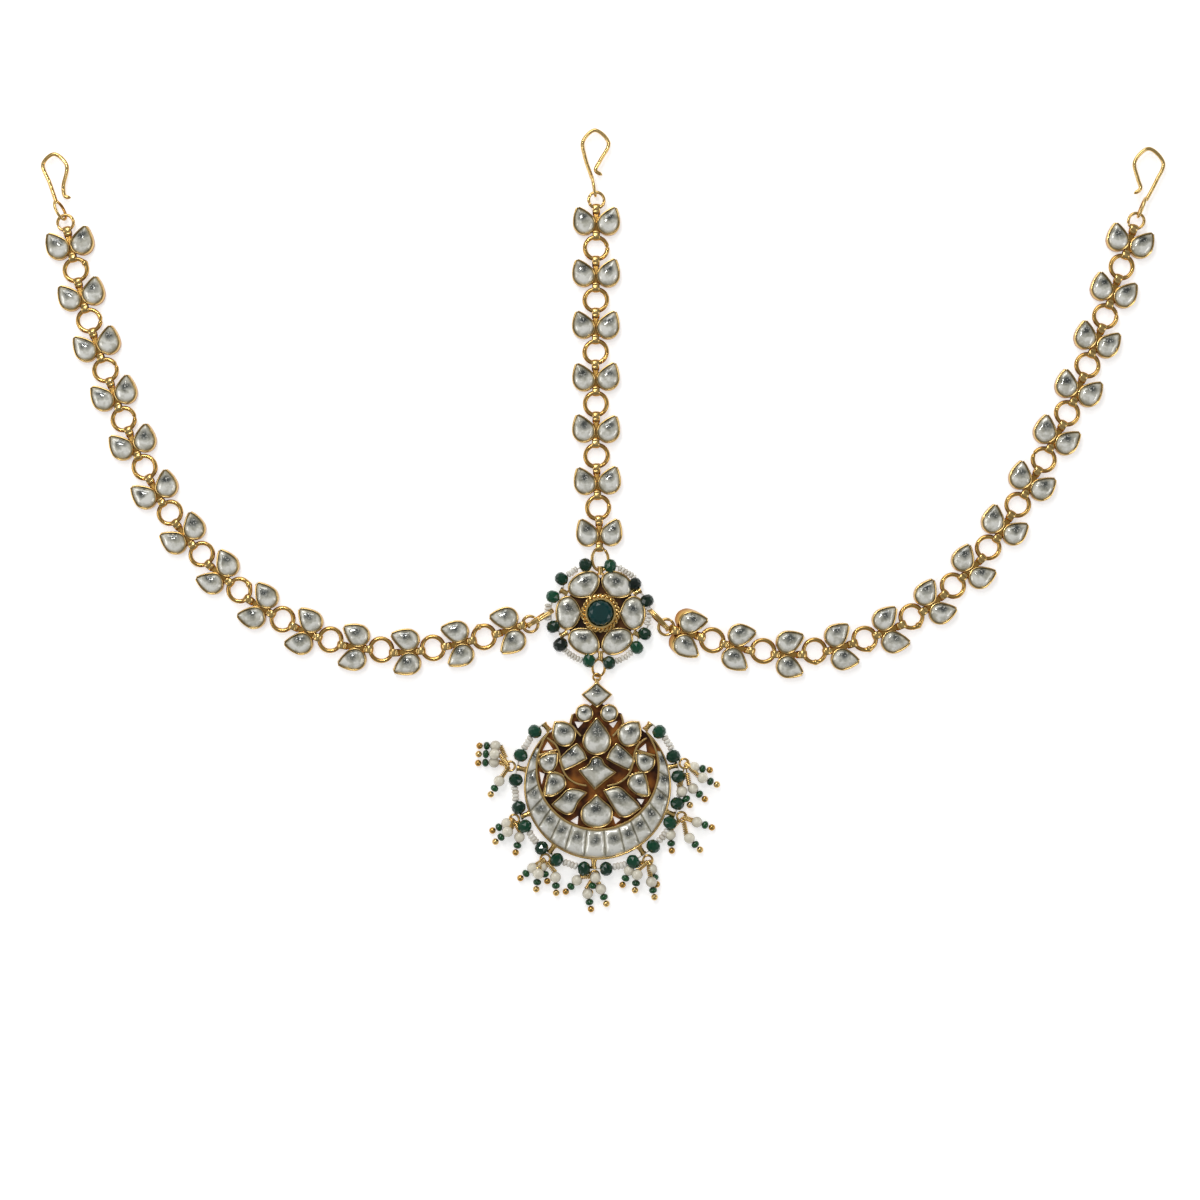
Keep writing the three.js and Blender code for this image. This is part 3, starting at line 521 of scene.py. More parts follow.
def tear(side):
    """Stone outline of one side, drawn in to leave room for its wall."""
    shape = grow(outline(TEAR, sharp=[0], steps=6), -BEZEL)
    return shape if side > 0 else shape[::-1] * [-1, 1]


def strap_end(sign):
    """Strip bent over the ring's wire: a sweep in the YZ plane, its section STRAP_FLATTER times
    as wide in X as it is thick."""
    curve, _ = spline(STRAP_PATH, 22)
    points = np.column_stack([np.zeros(len(curve)), sign * curve[:, 0], curve[:, 1]])
    across = sweep(points, STRAP_SHEET, 12, normal=(1, 0, 0)) - points[:, None]
    across[..., 0] *= STRAP_FLATTER
    return points[:, None] + across


def moved(rings, place):
    """Rings turned about Z and carried to a link's place."""
    rings = np.array(rings, float)
    x, y, degrees = place
    rings[..., :2] = turn(rings[..., :2], degrees) + (x, y)
    return rings


def add_link(metal, stones, place):
    """Both cups, both stones, each a little unlike the next, the strap and its two bent ends."""
    x, y, degrees = place
    for side in (1, -1):
        shape = turn(tear(side) * dice.uniform(0.97, 1.02, 2), degrees)
        cup(metal, shape, place=(x, y))
        stone(stones, shape, top=3.05, place=(x, y), size=(2.9, 3.2))
    w, h = STRAP_HALF, STRAP_LONG
    body = outline([(w, h), (-w, h), (-w, -h), (w, -h)], sharp=[0, 1, 2, 3])
    metal.add(moved([level(body, 0.15), level(body, 1.7), level(body * [0.7, 0.9], 1.9)], place))
    for sign in (1, -1):
        metal.add(moved(strap_end(sign), place))
        metal.add(moved(lathe(COLLAR, (0, sign * 2.75, 2.05), (1, 0, 0), 12), place))


# %% Rings of wire
MARKS = {"cut": (-0.45, 0.07), "blob": (0.5, 0.16)}  # change of thickness, and spread in radians


def wire_ring(gather, centre, radius, wire, height, marked=None, stretch=1.0):
    """Circle, a little uneven in its radius and wire; marked is a cut or a blob and its angle, and
    x from there the wire is 1 + change exp(-(x / spread)^2) times as thick."""
    a = np.linspace(0, 2 * np.pi, 56, endpoint=False)
    phase = dice.uniform(0, 6.28, 2)
    r = radius * (1 + 0.018 * np.sin(2 * a + phase[0]))
    thick = wire * (1 + 0.05 * np.sin(3 * a + phase[1]))
    if marked is not None:
        apart = np.abs((a - np.radians(marked[1]) + np.pi) % (2 * np.pi) - np.pi)
        change, spread = MARKS[marked[0]]
        thick *= 1 + change * np.exp(-((apart / spread) ** 2))
    flat = np.stack([r * np.cos(a), stretch * r * np.sin(a)], -1)
    path = np.column_stack([flat + centre, np.full(len(a), height)])
    gather.add(sweep(path, thick, 10, closed=True), wrap=True)


# %% Chains on their routes
ROUTES = {
    "left": (14, [(-144.1, 105.1), (-139.6, 84.6), (-130.6, 57.6), (-119.3, 31.9),
                  (-103.0, 10.8), (-79.8, -5.0), (-51.7, -10.5), (-18.9, -3.0)]),
    "right": (14, [(144.3, 105.6), (137.9, 85.4), (128.2, 59.0), (115.3, 33.8),
                   (99.7, 11.6), (77.9, -4.6), (49.3, -11.2), (17.7, -3.8)]),
    "centre": (7, [(-1.1, 111.2), (-1.3, 76.2), (-1.1, 41.0), (-0.1, 16.2)]),
}
END_RING = {"left": 2.1, "right": 2.1, "centre": 1.4}
FIRST_RING, LEAD, END_WIRE, END_HEIGHT = 2.1, 3.8, 0.42, 1.85
TILT, TILT_BACK = (0.42, -0.3), (0.6, -0.4)  # lean in X and Y for each mm of height, and set back
HELD_X, HELD_Y, HELD_WIRE, HELD_HEIGHT = 13.6, 0.3, 0.36, 1.95


def link_places(side):
    """Link n lies at lead + n x pitch along the route, its +Y towards the hook."""
    links, route = ROUTES[side]
    curve, length = spline(route, 2000)
    lead = LEAD + FIRST_RING
    at = lead + np.arange(links) * (length - lead - LEAD - END_RING[side]) / (links - 1)
    run = np.linspace(0, length, len(curve))
    slope = between(at, run, np.gradient(curve, axis=0))
    degrees = np.degrees(np.arctan2(-slope[:, 1], -slope[:, 0])) - 90
    return np.column_stack([between(at, run, curve), degrees])


def add_chain(side):
    """All the links of a chain, the rings between them and those at its ends."""
    metal, stones, rings = Gather(), Gather(), Gather()
    places = link_places(side)
    for place in places:
        sway = dice.uniform(-3.0, 3.0)
        start = len(metal.points), len(stones.points)
        add_link(metal, stones, place + [0, 0, sway])
    if side == "right":  # its last link lies tilted
        for points in (*metal.points[start[0]:], *stones.points[start[1]:]):
            points[:, :2] += points[:, 2:] * TILT - TILT_BACK
    for before, after in zip(places[:-1], places[1:], strict=True):
        middle = (before[:2] + after[:2]) / 2
        across = np.degrees(np.arctan2(*(after - before)[1::-1])) + 90 * dice.choice([-1, 1])
        mark = dice.choice(["cut", "blob", "none"], p=[0.3, 0.25, 0.45])
        marked = None if mark == "none" else (mark, across + dice.uniform(-30, 30))
        wire_ring(rings, middle, LINK_RING, WIRE_RADIUS, WIRE_HEIGHT, marked)
    route = ROUTES[side][1]
    wire_ring(rings, route[0], FIRST_RING, END_WIRE, END_HEIGHT, ("cut", 200))
    if side == "centre":
        oval_at = np.array(route[-1]) - (0, 1.75)
        wire_ring(rings, oval_at, 2.2, END_WIRE, END_HEIGHT, ("cut", 60), stretch=1.36)
    else:
        wire_ring(rings, route[-1], END_RING[side], END_WIRE, END_HEIGHT, ("cut", 60))
        add_held_ring(rings, side)
    metal.piece(f"chain_{side}_metal", set_gold, "gold", f"chain_{side}")
    stones.piece(f"chain_{side}_stones", kundan, "kundan", f"chain_{side}")
    rings.piece(f"chain_{side}_rings", wire_gold, "gold", f"chain_{side}")


def add_held_ring(gather, side):
    """Two turns of wire, nearly on edge between the small ring and the rosette: reach cos a along,
    1.35 sin a up, and 0.55 a turn + 0.35 sin a across."""
    end = np.array(ROUTES[side][1][-1])
    held = np.array([np.sign(end[0]) * HELD_X, HELD_Y])
    middle, along = (end + held) / 2, end - held
    reach = np.linalg.norm(along) / 2 + 0.75
    along = unit(along)
    across = np.array([-along[1], along[0]])
    a = np.linspace(0, 4 * np.pi, 90)
    flat = middle + reach * np.cos(a)[:, None] * along
    flat = flat + (0.55 * (a / (2 * np.pi) - 1) + 0.35 * np.sin(a))[:, None] * across
    path = np.column_stack([flat, HELD_HEIGHT + 1.35 * np.sin(a)])
    gather.add(sweep(path, HELD_WIRE, 10, normal=(*across, 0.0)))


for side in ROUTES:
    add_chain(side)

# %% [markdown]
# ## Hooks
#
# Each hook is one length of hard wire, bent to an open loop with its end curled back. Below, it
# closes in an eye that stands on edge, so that it can hold the flat ring of its chain.

# %% Hooks
HOOKS = {
    "left": (60, 26, [(0.3, -0.6), (-1.7, 5.2), (-3.5, 10.2), (-0.5, 13.0), (3.0, 10.0),
                      (2.1, 4.0), (2.6, 1.4), (4.2, 1.0)]),
    "centre": (90, 10, [(0.0, -0.6), (-2.0, 5.4), (-2.5, 9.6), (0.8, 12.7), (4.6, 9.2),
                        (2.2, 4.2), (1.0, 1.6), (2.8, 0.3)]),
    "right": (90, -22, [(0.2, -0.6), (3.0, 4.6), (5.0, 9.6), (0.9, 13.5), (-3.0, 9.9),
                        (-2.1, 5.2), (-1.4, 2.6), (-3.2, 1.2)]),
}
HOOK_WIRE, HOOK_TIP = 0.55, [0.56, 0.52, 0.4, 0.15]
EYE_WIDE, EYE_LONG, EYE_WIRE = 1.65, 2.75, 0.42
ROOM = FIRST_RING - 0.4 - EYE_WIRE - 0.3  # from the ring's middle to the end of the eye in it
INSIDE = 0.01


def fitted(rings, whole, name):
    """Rings scaled along each axis so that the whole hook lies INSIDE its box in the frame."""
    points = np.vstack([part.reshape(-1, 3) for part in whole])
    low, high = (np.array(corner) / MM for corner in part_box(name))
    low, high = low + INSIDE, high - INSIDE
    share = (rings - points.min(0)) / (points.max(0) - points.min(0))
    return low + share * (high - low)


def add_hook(side):
    """Origin = ring's middle - down x (ROOM + the eye's whole length), and the eye's middle is
    half its length down from the origin."""
    twist, lean, wire = HOOKS[side]
    down = polar(1.0, lean - 90)
    origin = np.array(ROUTES[side][1][0]) - down * (ROOM + 2 * EYE_LONG)
    height = EYE_WIDE * np.sin(np.radians(twist)) + EYE_WIRE
    curve, _ = springy(wire, 90)
    path = np.column_stack([curve + origin, np.full(len(curve), height)])
    thick = np.full(len(curve), HOOK_WIRE)
    thick[-4:] = HOOK_TIP
    leg = sweep(path, thick, 12)
    a = np.linspace(0, 2 * np.pi, 44, endpoint=False)
    tilt = np.radians(twist)
    loop = np.stack([EYE_WIDE * np.cos(a) * np.cos(tilt), EYE_LONG * np.sin(a),
                     -EYE_WIDE * np.cos(a) * np.sin(tilt)], -1)
    facing = np.array([np.sin(tilt), 0.0, np.cos(tilt)])
    facing[:2] = turn(facing[None, :2], lean)[0]
    loop[:, :2] = turn(loop[:, :2], lean) + origin + down * EYE_LONG
    loop[:, 2] += height
    ring = sweep(loop, EYE_WIRE, 10, normal=facing, closed=True)
    metal = Gather()
    metal.add(fitted(leg, (leg, ring), f"hook_{side}"))
    metal.add(fitted(ring, (leg, ring), f"hook_{side}"), wrap=True)
    metal.piece(f"hook_{side}_wire", wire_gold, "gold", f"hook_{side}")


for side in HOOKS:
    add_hook(side)

# %% [markdown]
# ## Rosette
#
# Six petal stones ring a raised green stone. Its collar is polished, with a rope of two twisted
# wires on its shoulder. The back plate is painted near black in the gaps between petals, as painted
# shade.

# %% Petals, plate and collar
def two_sided(start, half, end):
    """Outline down one side, and back up the other as its mirror image."""
    return [start, *half, end, *[(-x, y) for x, y in half[::-1]]]


PETAL = two_sided((0.0, 5.35), [(1.6, 6.0), (3.0, 6.8), (4.0, 8.0), (4.15, 9.3), (3.4, 10.7),
                                (1.8, 11.5)], (0.0, 11.75))
rosette, petals, plates = Gather(), Gather(), Gather()
for n in range(6):
    shape = turn(outline(PETAL, sharp=[0], steps=4), 60 * n - 90)
    cup(rosette, shape)
    stone(petals, shape, bevel=0.84, size=(3.6, 3.3))
plates.add([level(polar(9.6, np.arange(6) * 60 + 30), z) for z in (0.1, 1.35)])
rosette.add([level(polar(r, np.arange(0, 360, 7.5)), z) for r, z in [
    (2.0, 0.4), (5.05, 0.4), (5.1, 2.5), (4.3, 2.7), (4.25, 3.75), (4.05, 4.0), (3.65, 4.0),
    (3.4, 3.75), (3.35, 2.4), (2.0, 2.4)]])


def rope(gather, radius, height, wire, turns):
    """Two wires wound round a circle: radius + wire cos b and height + wire sin b, where b runs
    turns times as fast as the circle's own angle."""
    a = np.linspace(0, 2 * np.pi, turns * 14, endpoint=False)
    for half in (0, np.pi):
        b = turns * a + half
        out = radius + wire * np.cos(b)
        path = np.stack([out * np.cos(a), out * np.sin(a), height + wire * np.sin(b)], -1)
        gather.add(sweep(path, wire, 7, closed=True), wrap=True)


rope(rosette, 4.6, 3.0, 0.38, 12)
facet = Gather()
facet.add(lathe([(0, 1.6), (0, 3.38), (0.9, 3.38), (1.45, 2.95), (1.85, 2.25), (1.95, 1.2)],
                (0, 0, 2.9), (0, 0, 1), 11, twist=0.5))
facet.piece("rosette_centre_gem", teal, "green_glass", "rosette_centre_stone", smooth=False)

# %% Lugs between the petals
LUG = [(0.0, 0.4), (0.02, 0.85), (0.4, 0.88), (0.5, 0.7), (1.35, 0.7), (1.45, 0.88), (1.83, 0.85),
       (1.85, 0.4)]


def post(gather, start, degrees, length, height, width=1.0):
    """Short tube with a collar at each end, along a bearing."""
    rows = [(d * length / 1.85, r * width) for d, r in LUG]
    gather.add(lathe(rows, (*start, height), (*polar(1.0, degrees), 0.0), 14))


for degrees in range(30, 390, 60):
    post(rosette, polar(10.2, degrees), degrees, 2.4, 1.9)
rosette.piece("rosette_metal", set_gold, "gold", "rosette_setting")
plates.piece("rosette_plate", gap_shade_plate, "gold", "rosette_setting")
petals.piece("rosette_petals", kundan, "kundan", *[f"rosette_petal_stone_{n}" for n in range(1, 7)])

# %% [markdown]
# ## Strings of beads
#
# Green rondelles are ground with flat facets, so each of their rings is turned half a step and
# shaded flat. White seeds are smooth and squat, and darker at their ends, where each shadows the
# next. Both sit on a thread, a little out of line, as hand-strung beads are.

# %% Beads and seeds
greens, seeds, threads = Gather(), Gather(), Gather()
RONDELLE = [(-0.98, 0.3), (-0.86, 0.62), (-0.45, 0.92), (0.0, 1.0), (0.45, 0.92), (0.86, 0.62),
            (0.98, 0.3)]
SEED_ENDS = np.array([-0.6, -0.3, 0.0, 0.1, 0.0, -0.3, -0.6])


def green_bead(centre, along, radius, half, shade):
    """Faceted rondelle, its hole along the string."""
    axis = np.array([*along, 0.0]) + dice.uniform(-0.12, 0.12, 3)
    rows = [(x * half, r * radius) for x, r in RONDELLE]
    greens.add(lathe(rows, centre, axis, 9, twist=0.5), shade=shade)


def seed(gather, centre, along, radius, half, shade):
    """Squat smooth bead, fuller than a ball, and shaded by SEED_ENDS."""
    profile = ball_profile(radius, half, 7, 0.7)
    gather.add(lathe(profile, centre, (*along, 0.0), 12), shade=shade + SEED_ENDS)


def seeds_between(origin, a, b, radius, count, size, half, height):
    """Seeds evenly spaced by angle on an arc of a given radius."""
    for angle in a + (np.arange(count) + 0.5) * (b - a) / count:
        centre = polar(radius + dice.uniform(-0.12, 0.12), angle) + origin
        tangent = polar(1.0, angle + 90 + dice.uniform(-6, 6))
        seed(seeds, (*centre, height), tangent, size, half, dice.uniform(0.3, 0.9))


def thread(origin, radius, a, b, height, dip=0.0):
    """Thread from angle a to b, drawn in by dip exp(-(x/9)^2) at x degrees from a post."""
    angle = np.linspace(a, b, 181)
    apart = (angle % 60) - 30
    path = polar(1.0, angle) * (radius - dip * np.exp(-((apart / 9) ** 2)))[:, None] + origin
    threads.add(sweep(np.column_stack([path, np.full(len(path), height)]), 0.2, 6))


ROSETTE_BEADS = [(-4.1, 12.95, 0.25), (2.6, 12.7, 0.7), (9.2, 7.8, 0.0), (12.5, 3.3, 0.15),
                 (11.9, -5.6, 0.3), (9.8, -9.3, 0.75), (2.3, -13.4, 0.35), (-3.1, -12.85, 0.85),
                 (-10.8, -8.5, 0.0), (-12.7, -3.7, 0.25), (-12.85, 4.4, 0.9), (-10.5, 9.2, 0.4)]
BIG_BEAD = (-10.8, -8.5)
for x, y, shade in ROSETTE_BEADS:
    size = 1.1 if (x, y) == BIG_BEAD else 1.0
    along = polar(1.0, np.degrees(np.arctan2(y, x)) + 90)
    green_bead((x, y, 1.95 * size + 0.06), along, 1.92 * size, 1.68 * size, shade)
ROSETTE_SEEDS = [(45, 68.5, 13.1, 6), (118, 131, 13.5, 4), (170, 188, 14.4, 5), (224, 249, 13.8, 7),
                 (287, 309, 13.6, 6), (345, 367, 13.0, 5)]
for a, b, radius, count in ROSETTE_SEEDS:
    seeds_between((0, 0), a, b, radius, count, 0.95, 0.48, 1.9)
thread((0, 0), 13.4, 0, 359, 1.9, dip=1.6)

# %% [markdown]
# ## Pendant
#
# Every stone has its own thin-walled cup on one back plate. The stones were ground by eye, so each
# outline is its own short list, and the two lower leaves aren't each other's mirror image. The
# plate is painted burnt orange and dark brown between the cups as painted shade, and small
# triangles are sawn through it.

# %% Stones of the pendant
PENDANT = np.array([-0.8, -46.6])
MIRROR = -0.4  # the two sides face each other about x = -0.2
RHOMB = ([(3.6, 0.1), (1.65, 1.6), (0, 3.1), (-1.65, 1.6), (-3.6, 0.1), (-1.85, -1.5), (0, -3.0),
          (1.85, -1.5)], [0, 2, 4, 6])
UPPER_DROP = (two_sided((0, 4.75), [(-1.7, 2.6), (-3.2, 0.2), (-3.5, -1.8), (-2.3, -3.9)],
                        (0, -4.75)), [0])
UPPER_PEAR = ([(-2.35, 3.0), (-2.75, 1.6), (-2.85, -0.2), (-2.1, -1.9), (-0.5, -2.95),
               (1.4, -2.8), (2.6, -1.4), (2.9, 0.25), (2.0, 1.9), (0.0, 3.0)], [0])
UPPER_LEAF = ([(1.15, 3.5), (0, 2.8), (-1.85, 1.15), (-3.35, -0.6), (-2.9, -2.0), (-2.1, -3.1),
               (-0.7, -2.55), (1.4, -1.5), (3.6, -0.25), (2.8, 1.6)], [0, 5, 8])
SIDE_ROUND = ([(2.4, 2.4), (0.0, 2.2), (-2.0, 1.2), (-2.3, 0.2), (-1.75, -1.2), (-0.35, -2.4),
               (1.05, -2.1), (2.1, -0.4), (2.35, 1.2)], [0])
CENTRE = ([(0, 3.95), (-1.2, 3.4), (-1.9, 2.0), (-3.2, 0.95), (-4.5, 0.45), (-2.6, -1.9),
           (-0.4, -4.4), (2.4, -2.0), (4.9, -0.1), (3.2, 1.0), (1.9, 2.2), (1.3, 3.4)], [4, 6, 8])
LOWER_PEAR = ([(-1.4, 3.0), (-2.3, 0.9), (-2.6, -1.4), (-2.75, -2.9), (-0.9, -3.0), (1.15, -1.85),
               (2.5, -0.25), (2.3, 1.4), (0.9, 2.6)], [0, 3])
LOWER_LEAF_LEFT = ([(-0.2, 3.1), (-2.5, 1.0), (-4.4, -0.7), (-3.0, -2.0), (-0.7, -3.2),
                    (0.9, -2.7), (2.3, 0.1), (4.4, 2.4), (2.3, 3.1)], [2, 7])
LOWER_LEAF_RIGHT = ([(-4.7, 2.8), (-3.1, 0.0), (-0.8, -3.4), (1.5, -3.9), (4.8, -1.8), (3.2, 0.2),
                     (1.7, 1.6), (-1.0, 3.7)], [0, 4])
BOTTOM_DROP = (two_sided((0, 4.3), [(-1.6, 2.8), (-3.6, 1.0), (-4.0, -0.8), (-3.3, -2.8),
                                    (-1.6, -3.8)], (0, -4.0)), [0])
ROUND = (polar(2.05, np.arange(8) * 45.0), [])
SINGLE = [("top_diamond", RHOMB, -0.2, 24.5), ("upper_drop", UPPER_DROP, -0.2, 13.4),
          ("centre_diamond", CENTRE, -0.3, 3.8), ("bottom_drop", BOTTOM_DROP, -0.2, -6.9),
          ("lower_leaf_left", LOWER_LEAF_LEFT, -7.6, -4.2),
          ("lower_leaf_right", LOWER_LEAF_RIGHT, 6.6, -4.1)]
PAIRED = [("round", ROUND, -3.5, 19.6), ("upper_pear", UPPER_PEAR, -9.0, 14.0),
          ("upper_leaf", UPPER_LEAF, -6.7, 7.7), ("side_round", SIDE_ROUND, -13.3, 6.3),
          ("lower_pear", LOWER_PEAR, -11.3, 0.5)]


def pendant_outlines():
    """Node and placed outline of every stone; a pair's right one is the left one mirrored."""
    for name, (points, sharp), x, y in SINGLE:
        yield f"stone_{name}", outline(points, sharp, 5) + PENDANT + (x, y)
    for name, (points, sharp), x, y in PAIRED:
        left = outline(points, sharp, 5)
        yield f"stone_{name}_left", left + PENDANT + (x, y)
        yield f"stone_{name}_right", left[::-1] * (-1, 1) + PENDANT + (MIRROR - x, y)


pendant, pendant_stones = Gather(), Gather()
outlines = dict(pendant_outlines())
for shape in outlines.values():
    cup(pendant, shape)
    stone(pendant_stones, shape, bevel=0.82)
pendant_stones.piece("pendant_stones", kundan, "kundan", *outlines)

# %% Back plate with its sawn triangles
OUTER, INNER, INNER_UP, TIP = 19.85, 16.1, 4.75, 131.0
PLATE_TOP, PLATE_LOW = 0.8, 0.05
PLATE_HALF = [*(polar(INNER + 0.25, np.linspace(-84, 33, 14)) + (0, INNER_UP)).tolist(),
              (10.6, 16.2), (7.2, 16.6), (6.6, 19.4), (3.4, 20.6)]
SAWN = [[(-6.2, 17.3), (-5.3, 15.5), (-3.8, 17.1)], [(-13.5, 11.9), (-14.8, 9.5), (-12.0, 9.8)],
        [(-15.7, 3.8), (-15.1, 0.3), (-14.3, 3.2)], [(-5.2, -8.1), (-7.3, -9.5), (-5.4, -10.5)],
        [(3.1, 16.7), (4.2, 15.6), (5.4, 17.5)], [(13.0, 11.4), (11.0, 9.6), (13.3, 8.9)],
        [(10.6, -3.5), (11.8, -5.1), (12.6, -3.7)], [(4.1, -8.1), (4.8, -10.3), (6.2, -9.2)]]


def area(loop):
    """Twice the signed area, above 0 for an anticlockwise loop."""
    after = np.roll(loop, -1, -2)
    return (loop[..., 0] * after[..., 1] - after[..., 0] * loop[..., 1]).sum(-1)


def sawn_plate(loops):
    """Flat plate from its edge and holes: a face above and below, and a wall round each loop."""
    flat = np.vstack(loops)
    count = len(flat)
    top = np.array(tessellate_polygon([[Vector((*point, 0)) for point in loop] for loop in loops]))
    turned = area(flat[top]) < 0
    top[turned] = top[turned][:, ::-1]
    faces = [top + count, top[:, ::-1]]
    start = 0
    for n, loop in enumerate(loops):
        i = start + np.arange(len(loop))
        j = np.roll(i, -1)
        wall = np.vstack([np.stack([i, j, j + count], -1), np.stack([i, j + count, i + count], -1)])
        faces.append(wall if (area(loop) > 0) == (n == 0) else wall[:, ::-1])
        start += len(loop)
    return np.vstack([level(flat, PLATE_LOW), level(flat, PLATE_TOP)]), np.vstack(faces)


floors = Gather()
plate_loops = [two_sided((0, -11.6), PLATE_HALF, (0, 23.0)), *SAWN]
floors.add_mesh(*sawn_plate([np.array(loop) + PENDANT for loop in plate_loops]))

# %% Crescent trough
def rail_wall(gather, rail, inward, wall=0.5):
    """Thin wall along a rail, its lip rounded, as a closed section carried along."""
    section = [(0, 0), (0, RIM - 0.2), (0.12, RIM - 0.04), (0.3, RIM), (wall - 0.06, RIM - 0.06),
               (wall, RIM - 0.25), (wall, 0)]
    gather.add([[(*(point + inward_at * d), z) for d, z in section]
                for point, inward_at in zip(rail, inward, strict=True)])


# Matching points on the outer and the inner circle, from horn to horn
horn = polar(OUTER - 0.9, TIP) - (0, INNER_UP)
start = np.degrees(np.arctan2(horn[1], horn[0])) + 1.0
outer_rail = polar(OUTER, np.linspace(TIP, 540 - TIP, 90)) + PENDANT
inner_rail = polar(INNER, np.linspace(start, 540 - start, 90)) + (0, INNER_UP) + PENDANT
across = unit(inner_rail - outer_rail)
rail_wall(pendant, outer_rail, across)
rail_wall(pendant, inner_rail, -across, wall=0.7)


def bar(inset, low, high):
    """Rings of a bar along the trough, that far inside the rails."""
    rails = zip(outer_rail + across * inset, inner_rail - across * inset, strict=True)
    return [[(*a, low), (*b, low), (*b, high), (*a, high)] for a, b in rails]


floors.add(bar(0.2, PLATE_LOW, 1.0))

# %% Crescent's field of stones
CRESCENT_STONES = np.array([162.6, 179.5, 194.3, 208, 222.5, 235.9, 250.5, 267.9, 285.1, 299.6,
                            311.7, 325.6, 340.6, 358.7, 373.6])
FIELD_START, FIELD_END, CRACK = 149, 388, 0.08  # degrees
field = Gather()
field.add(bar(0.5, 0.95, 2.05)[11:-11], place=(0.0, -0.6))
cuts = [FIELD_START, *(CRESCENT_STONES[1:] + CRESCENT_STONES[:-1]) / 2, FIELD_END]
rail_angle = np.degrees(np.unwrap(np.arctan2(*(outer_rail - PENDANT).T[::-1]) % (2 * np.pi)))


def on_rails(angle, share):
    """Point at a share of the trough's clear width, at an angle on the outer circle."""
    a, b = outer_rail + across * 0.55, inner_rail - across * 0.55
    return between(angle, rail_angle, a + (b - a) * share)


for a, b in zip(cuts[:-1], cuts[1:], strict=True):
    a, b = a + CRACK, b - CRACK
    run = np.linspace(0, 1, 9)[:-1]
    cell = np.vstack([on_rails(a + (b - a) * run, 0.0), [on_rails(b, s) for s in run],
                      on_rails(b + (a - b) * run, 1.0), [on_rails(a, 1 - s) for s in run]])
    # the field's stones get a little less painted shade at their edges
    stone(field, cell, edge=2.15, bevel=0.82, size=(2.5, 3.1), dark=0.93)
field.piece("crescent_field", kundan, "kundan", "crescent_stones")

# %% Struts, lugs and bail
STRUTS = [[(-6.7, 19.3), (-7.3, 17.0), (-6.7, 16.0), (-4.5, 13.5)],
          [(-13.6, 13.0), (-11.5, 11.4), (-10.4, 9.3), (-10.1, 7.5), (-9.5, 4.7), (-8.1, 2.4),
           (-5.8, 0.8), (-3.0, 0.1)],
          [(-15.9, 8.3), (-13.2, 9.0), (-10.6, 9.8)], [(-11.8, 3.9), (-10.2, 3.3), (-9.0, 2.6)],
          [(-14.6, -2.2), (-13.9, 0.5), (-13.3, 3.1)], [(-13.9, -2.7), (-11.1, -2.1)]]
STRUT_WALL = 0.62
for strut in STRUTS:
    for mirrored in (False, True):
        curve, _ = spline([(MIRROR - x, y) if mirrored else (x, y) for x, y in strut], 26)
        along = unit(np.gradient(curve, axis=0))
        side = np.stack([-along[:, 1], along[:, 0]], -1)
        rail_wall(pendant, curve + PENDANT - side * STRUT_WALL / 2, side, wall=STRUT_WALL)
LUG_ANGLES = [130.9, 167.2, 201.8, 234.1, 267.2, 304.2, 339.4, 374.7, 409.8]
for degrees in LUG_ANGLES:
    post(pendant, polar(19.6, degrees) + PENDANT, degrees, 2.7, 1.75)
post(pendant, PENDANT + (-0.2, 27.5), 90, 1.5, 1.9, 0.8)
wire_ring(pendant, PENDANT + (-0.2, 29.3), 0.95, 0.3, 1.9)
pendant.piece("pendant_metal", set_gold, "gold", "pendant_frame")
floors.piece("pendant_floors", recess, "gold", "pendant_frame")
link = Gather()
wire_ring(link, np.array([-0.5, -14.8]), 1.65, 0.36, 1.5, ("cut", 100), stretch=1.38)
link.piece("pendant_jump_ring", wire_gold, "gold", "pendant_ring")

# %% Crescent's string
CRESCENT_BEADS = [(138.9, 22.4), (158.2, 22.3), (175.7, 22.1), (195.2, 22.0), (208.8, 22.4),
                  (227.9, 22.5), (241, 22.7), (260.7, 22.5), (275.9, 22.4), (295.2, 22.5),
                  (312.7, 22.1), (333.1, 21.9), (347.6, 22.0), (366.8, 21.9), (381.4, 21.9),
                  (401.4, 22.1)]
HALF_BEAD, STRING_HEIGHT = 4.8, 1.75  # degrees that a bead takes on each side, and mm
for n, (degrees, radius) in enumerate(CRESCENT_BEADS):
    centre = polar(radius, degrees) + PENDANT
    green_bead((*centre, 2.05), polar(1.0, degrees + 90), 2.0, 1.72, dice.uniform(0.3, 0.7))
    if n % 2 == 0:
        a, b = degrees + HALF_BEAD, CRESCENT_BEADS[n + 1][0] - HALF_BEAD
        seeds_between(PENDANT, a, b, 22.3, 4, 1.05, 0.6, STRING_HEIGHT)
thread(PENDANT, 22.25, 131, 409, STRING_HEIGHT)
greens.piece("faceted_beads", emerald, "green_glass", "rosette_bead_string", "crescent_bead_string",
             smooth=False)
seeds.piece("white_seeds", milk, "pearl")
threads.piece("threads", milk, "pearl")

# %% [markdown]
# ## Fringe
#
# Each lug carries a jump ring with a few drops: a wire wound on itself, a pearl, a green glass
# seed and a gold ball. They lie where they fell, some across others. Pearls are painted darker low
# down, as shade.

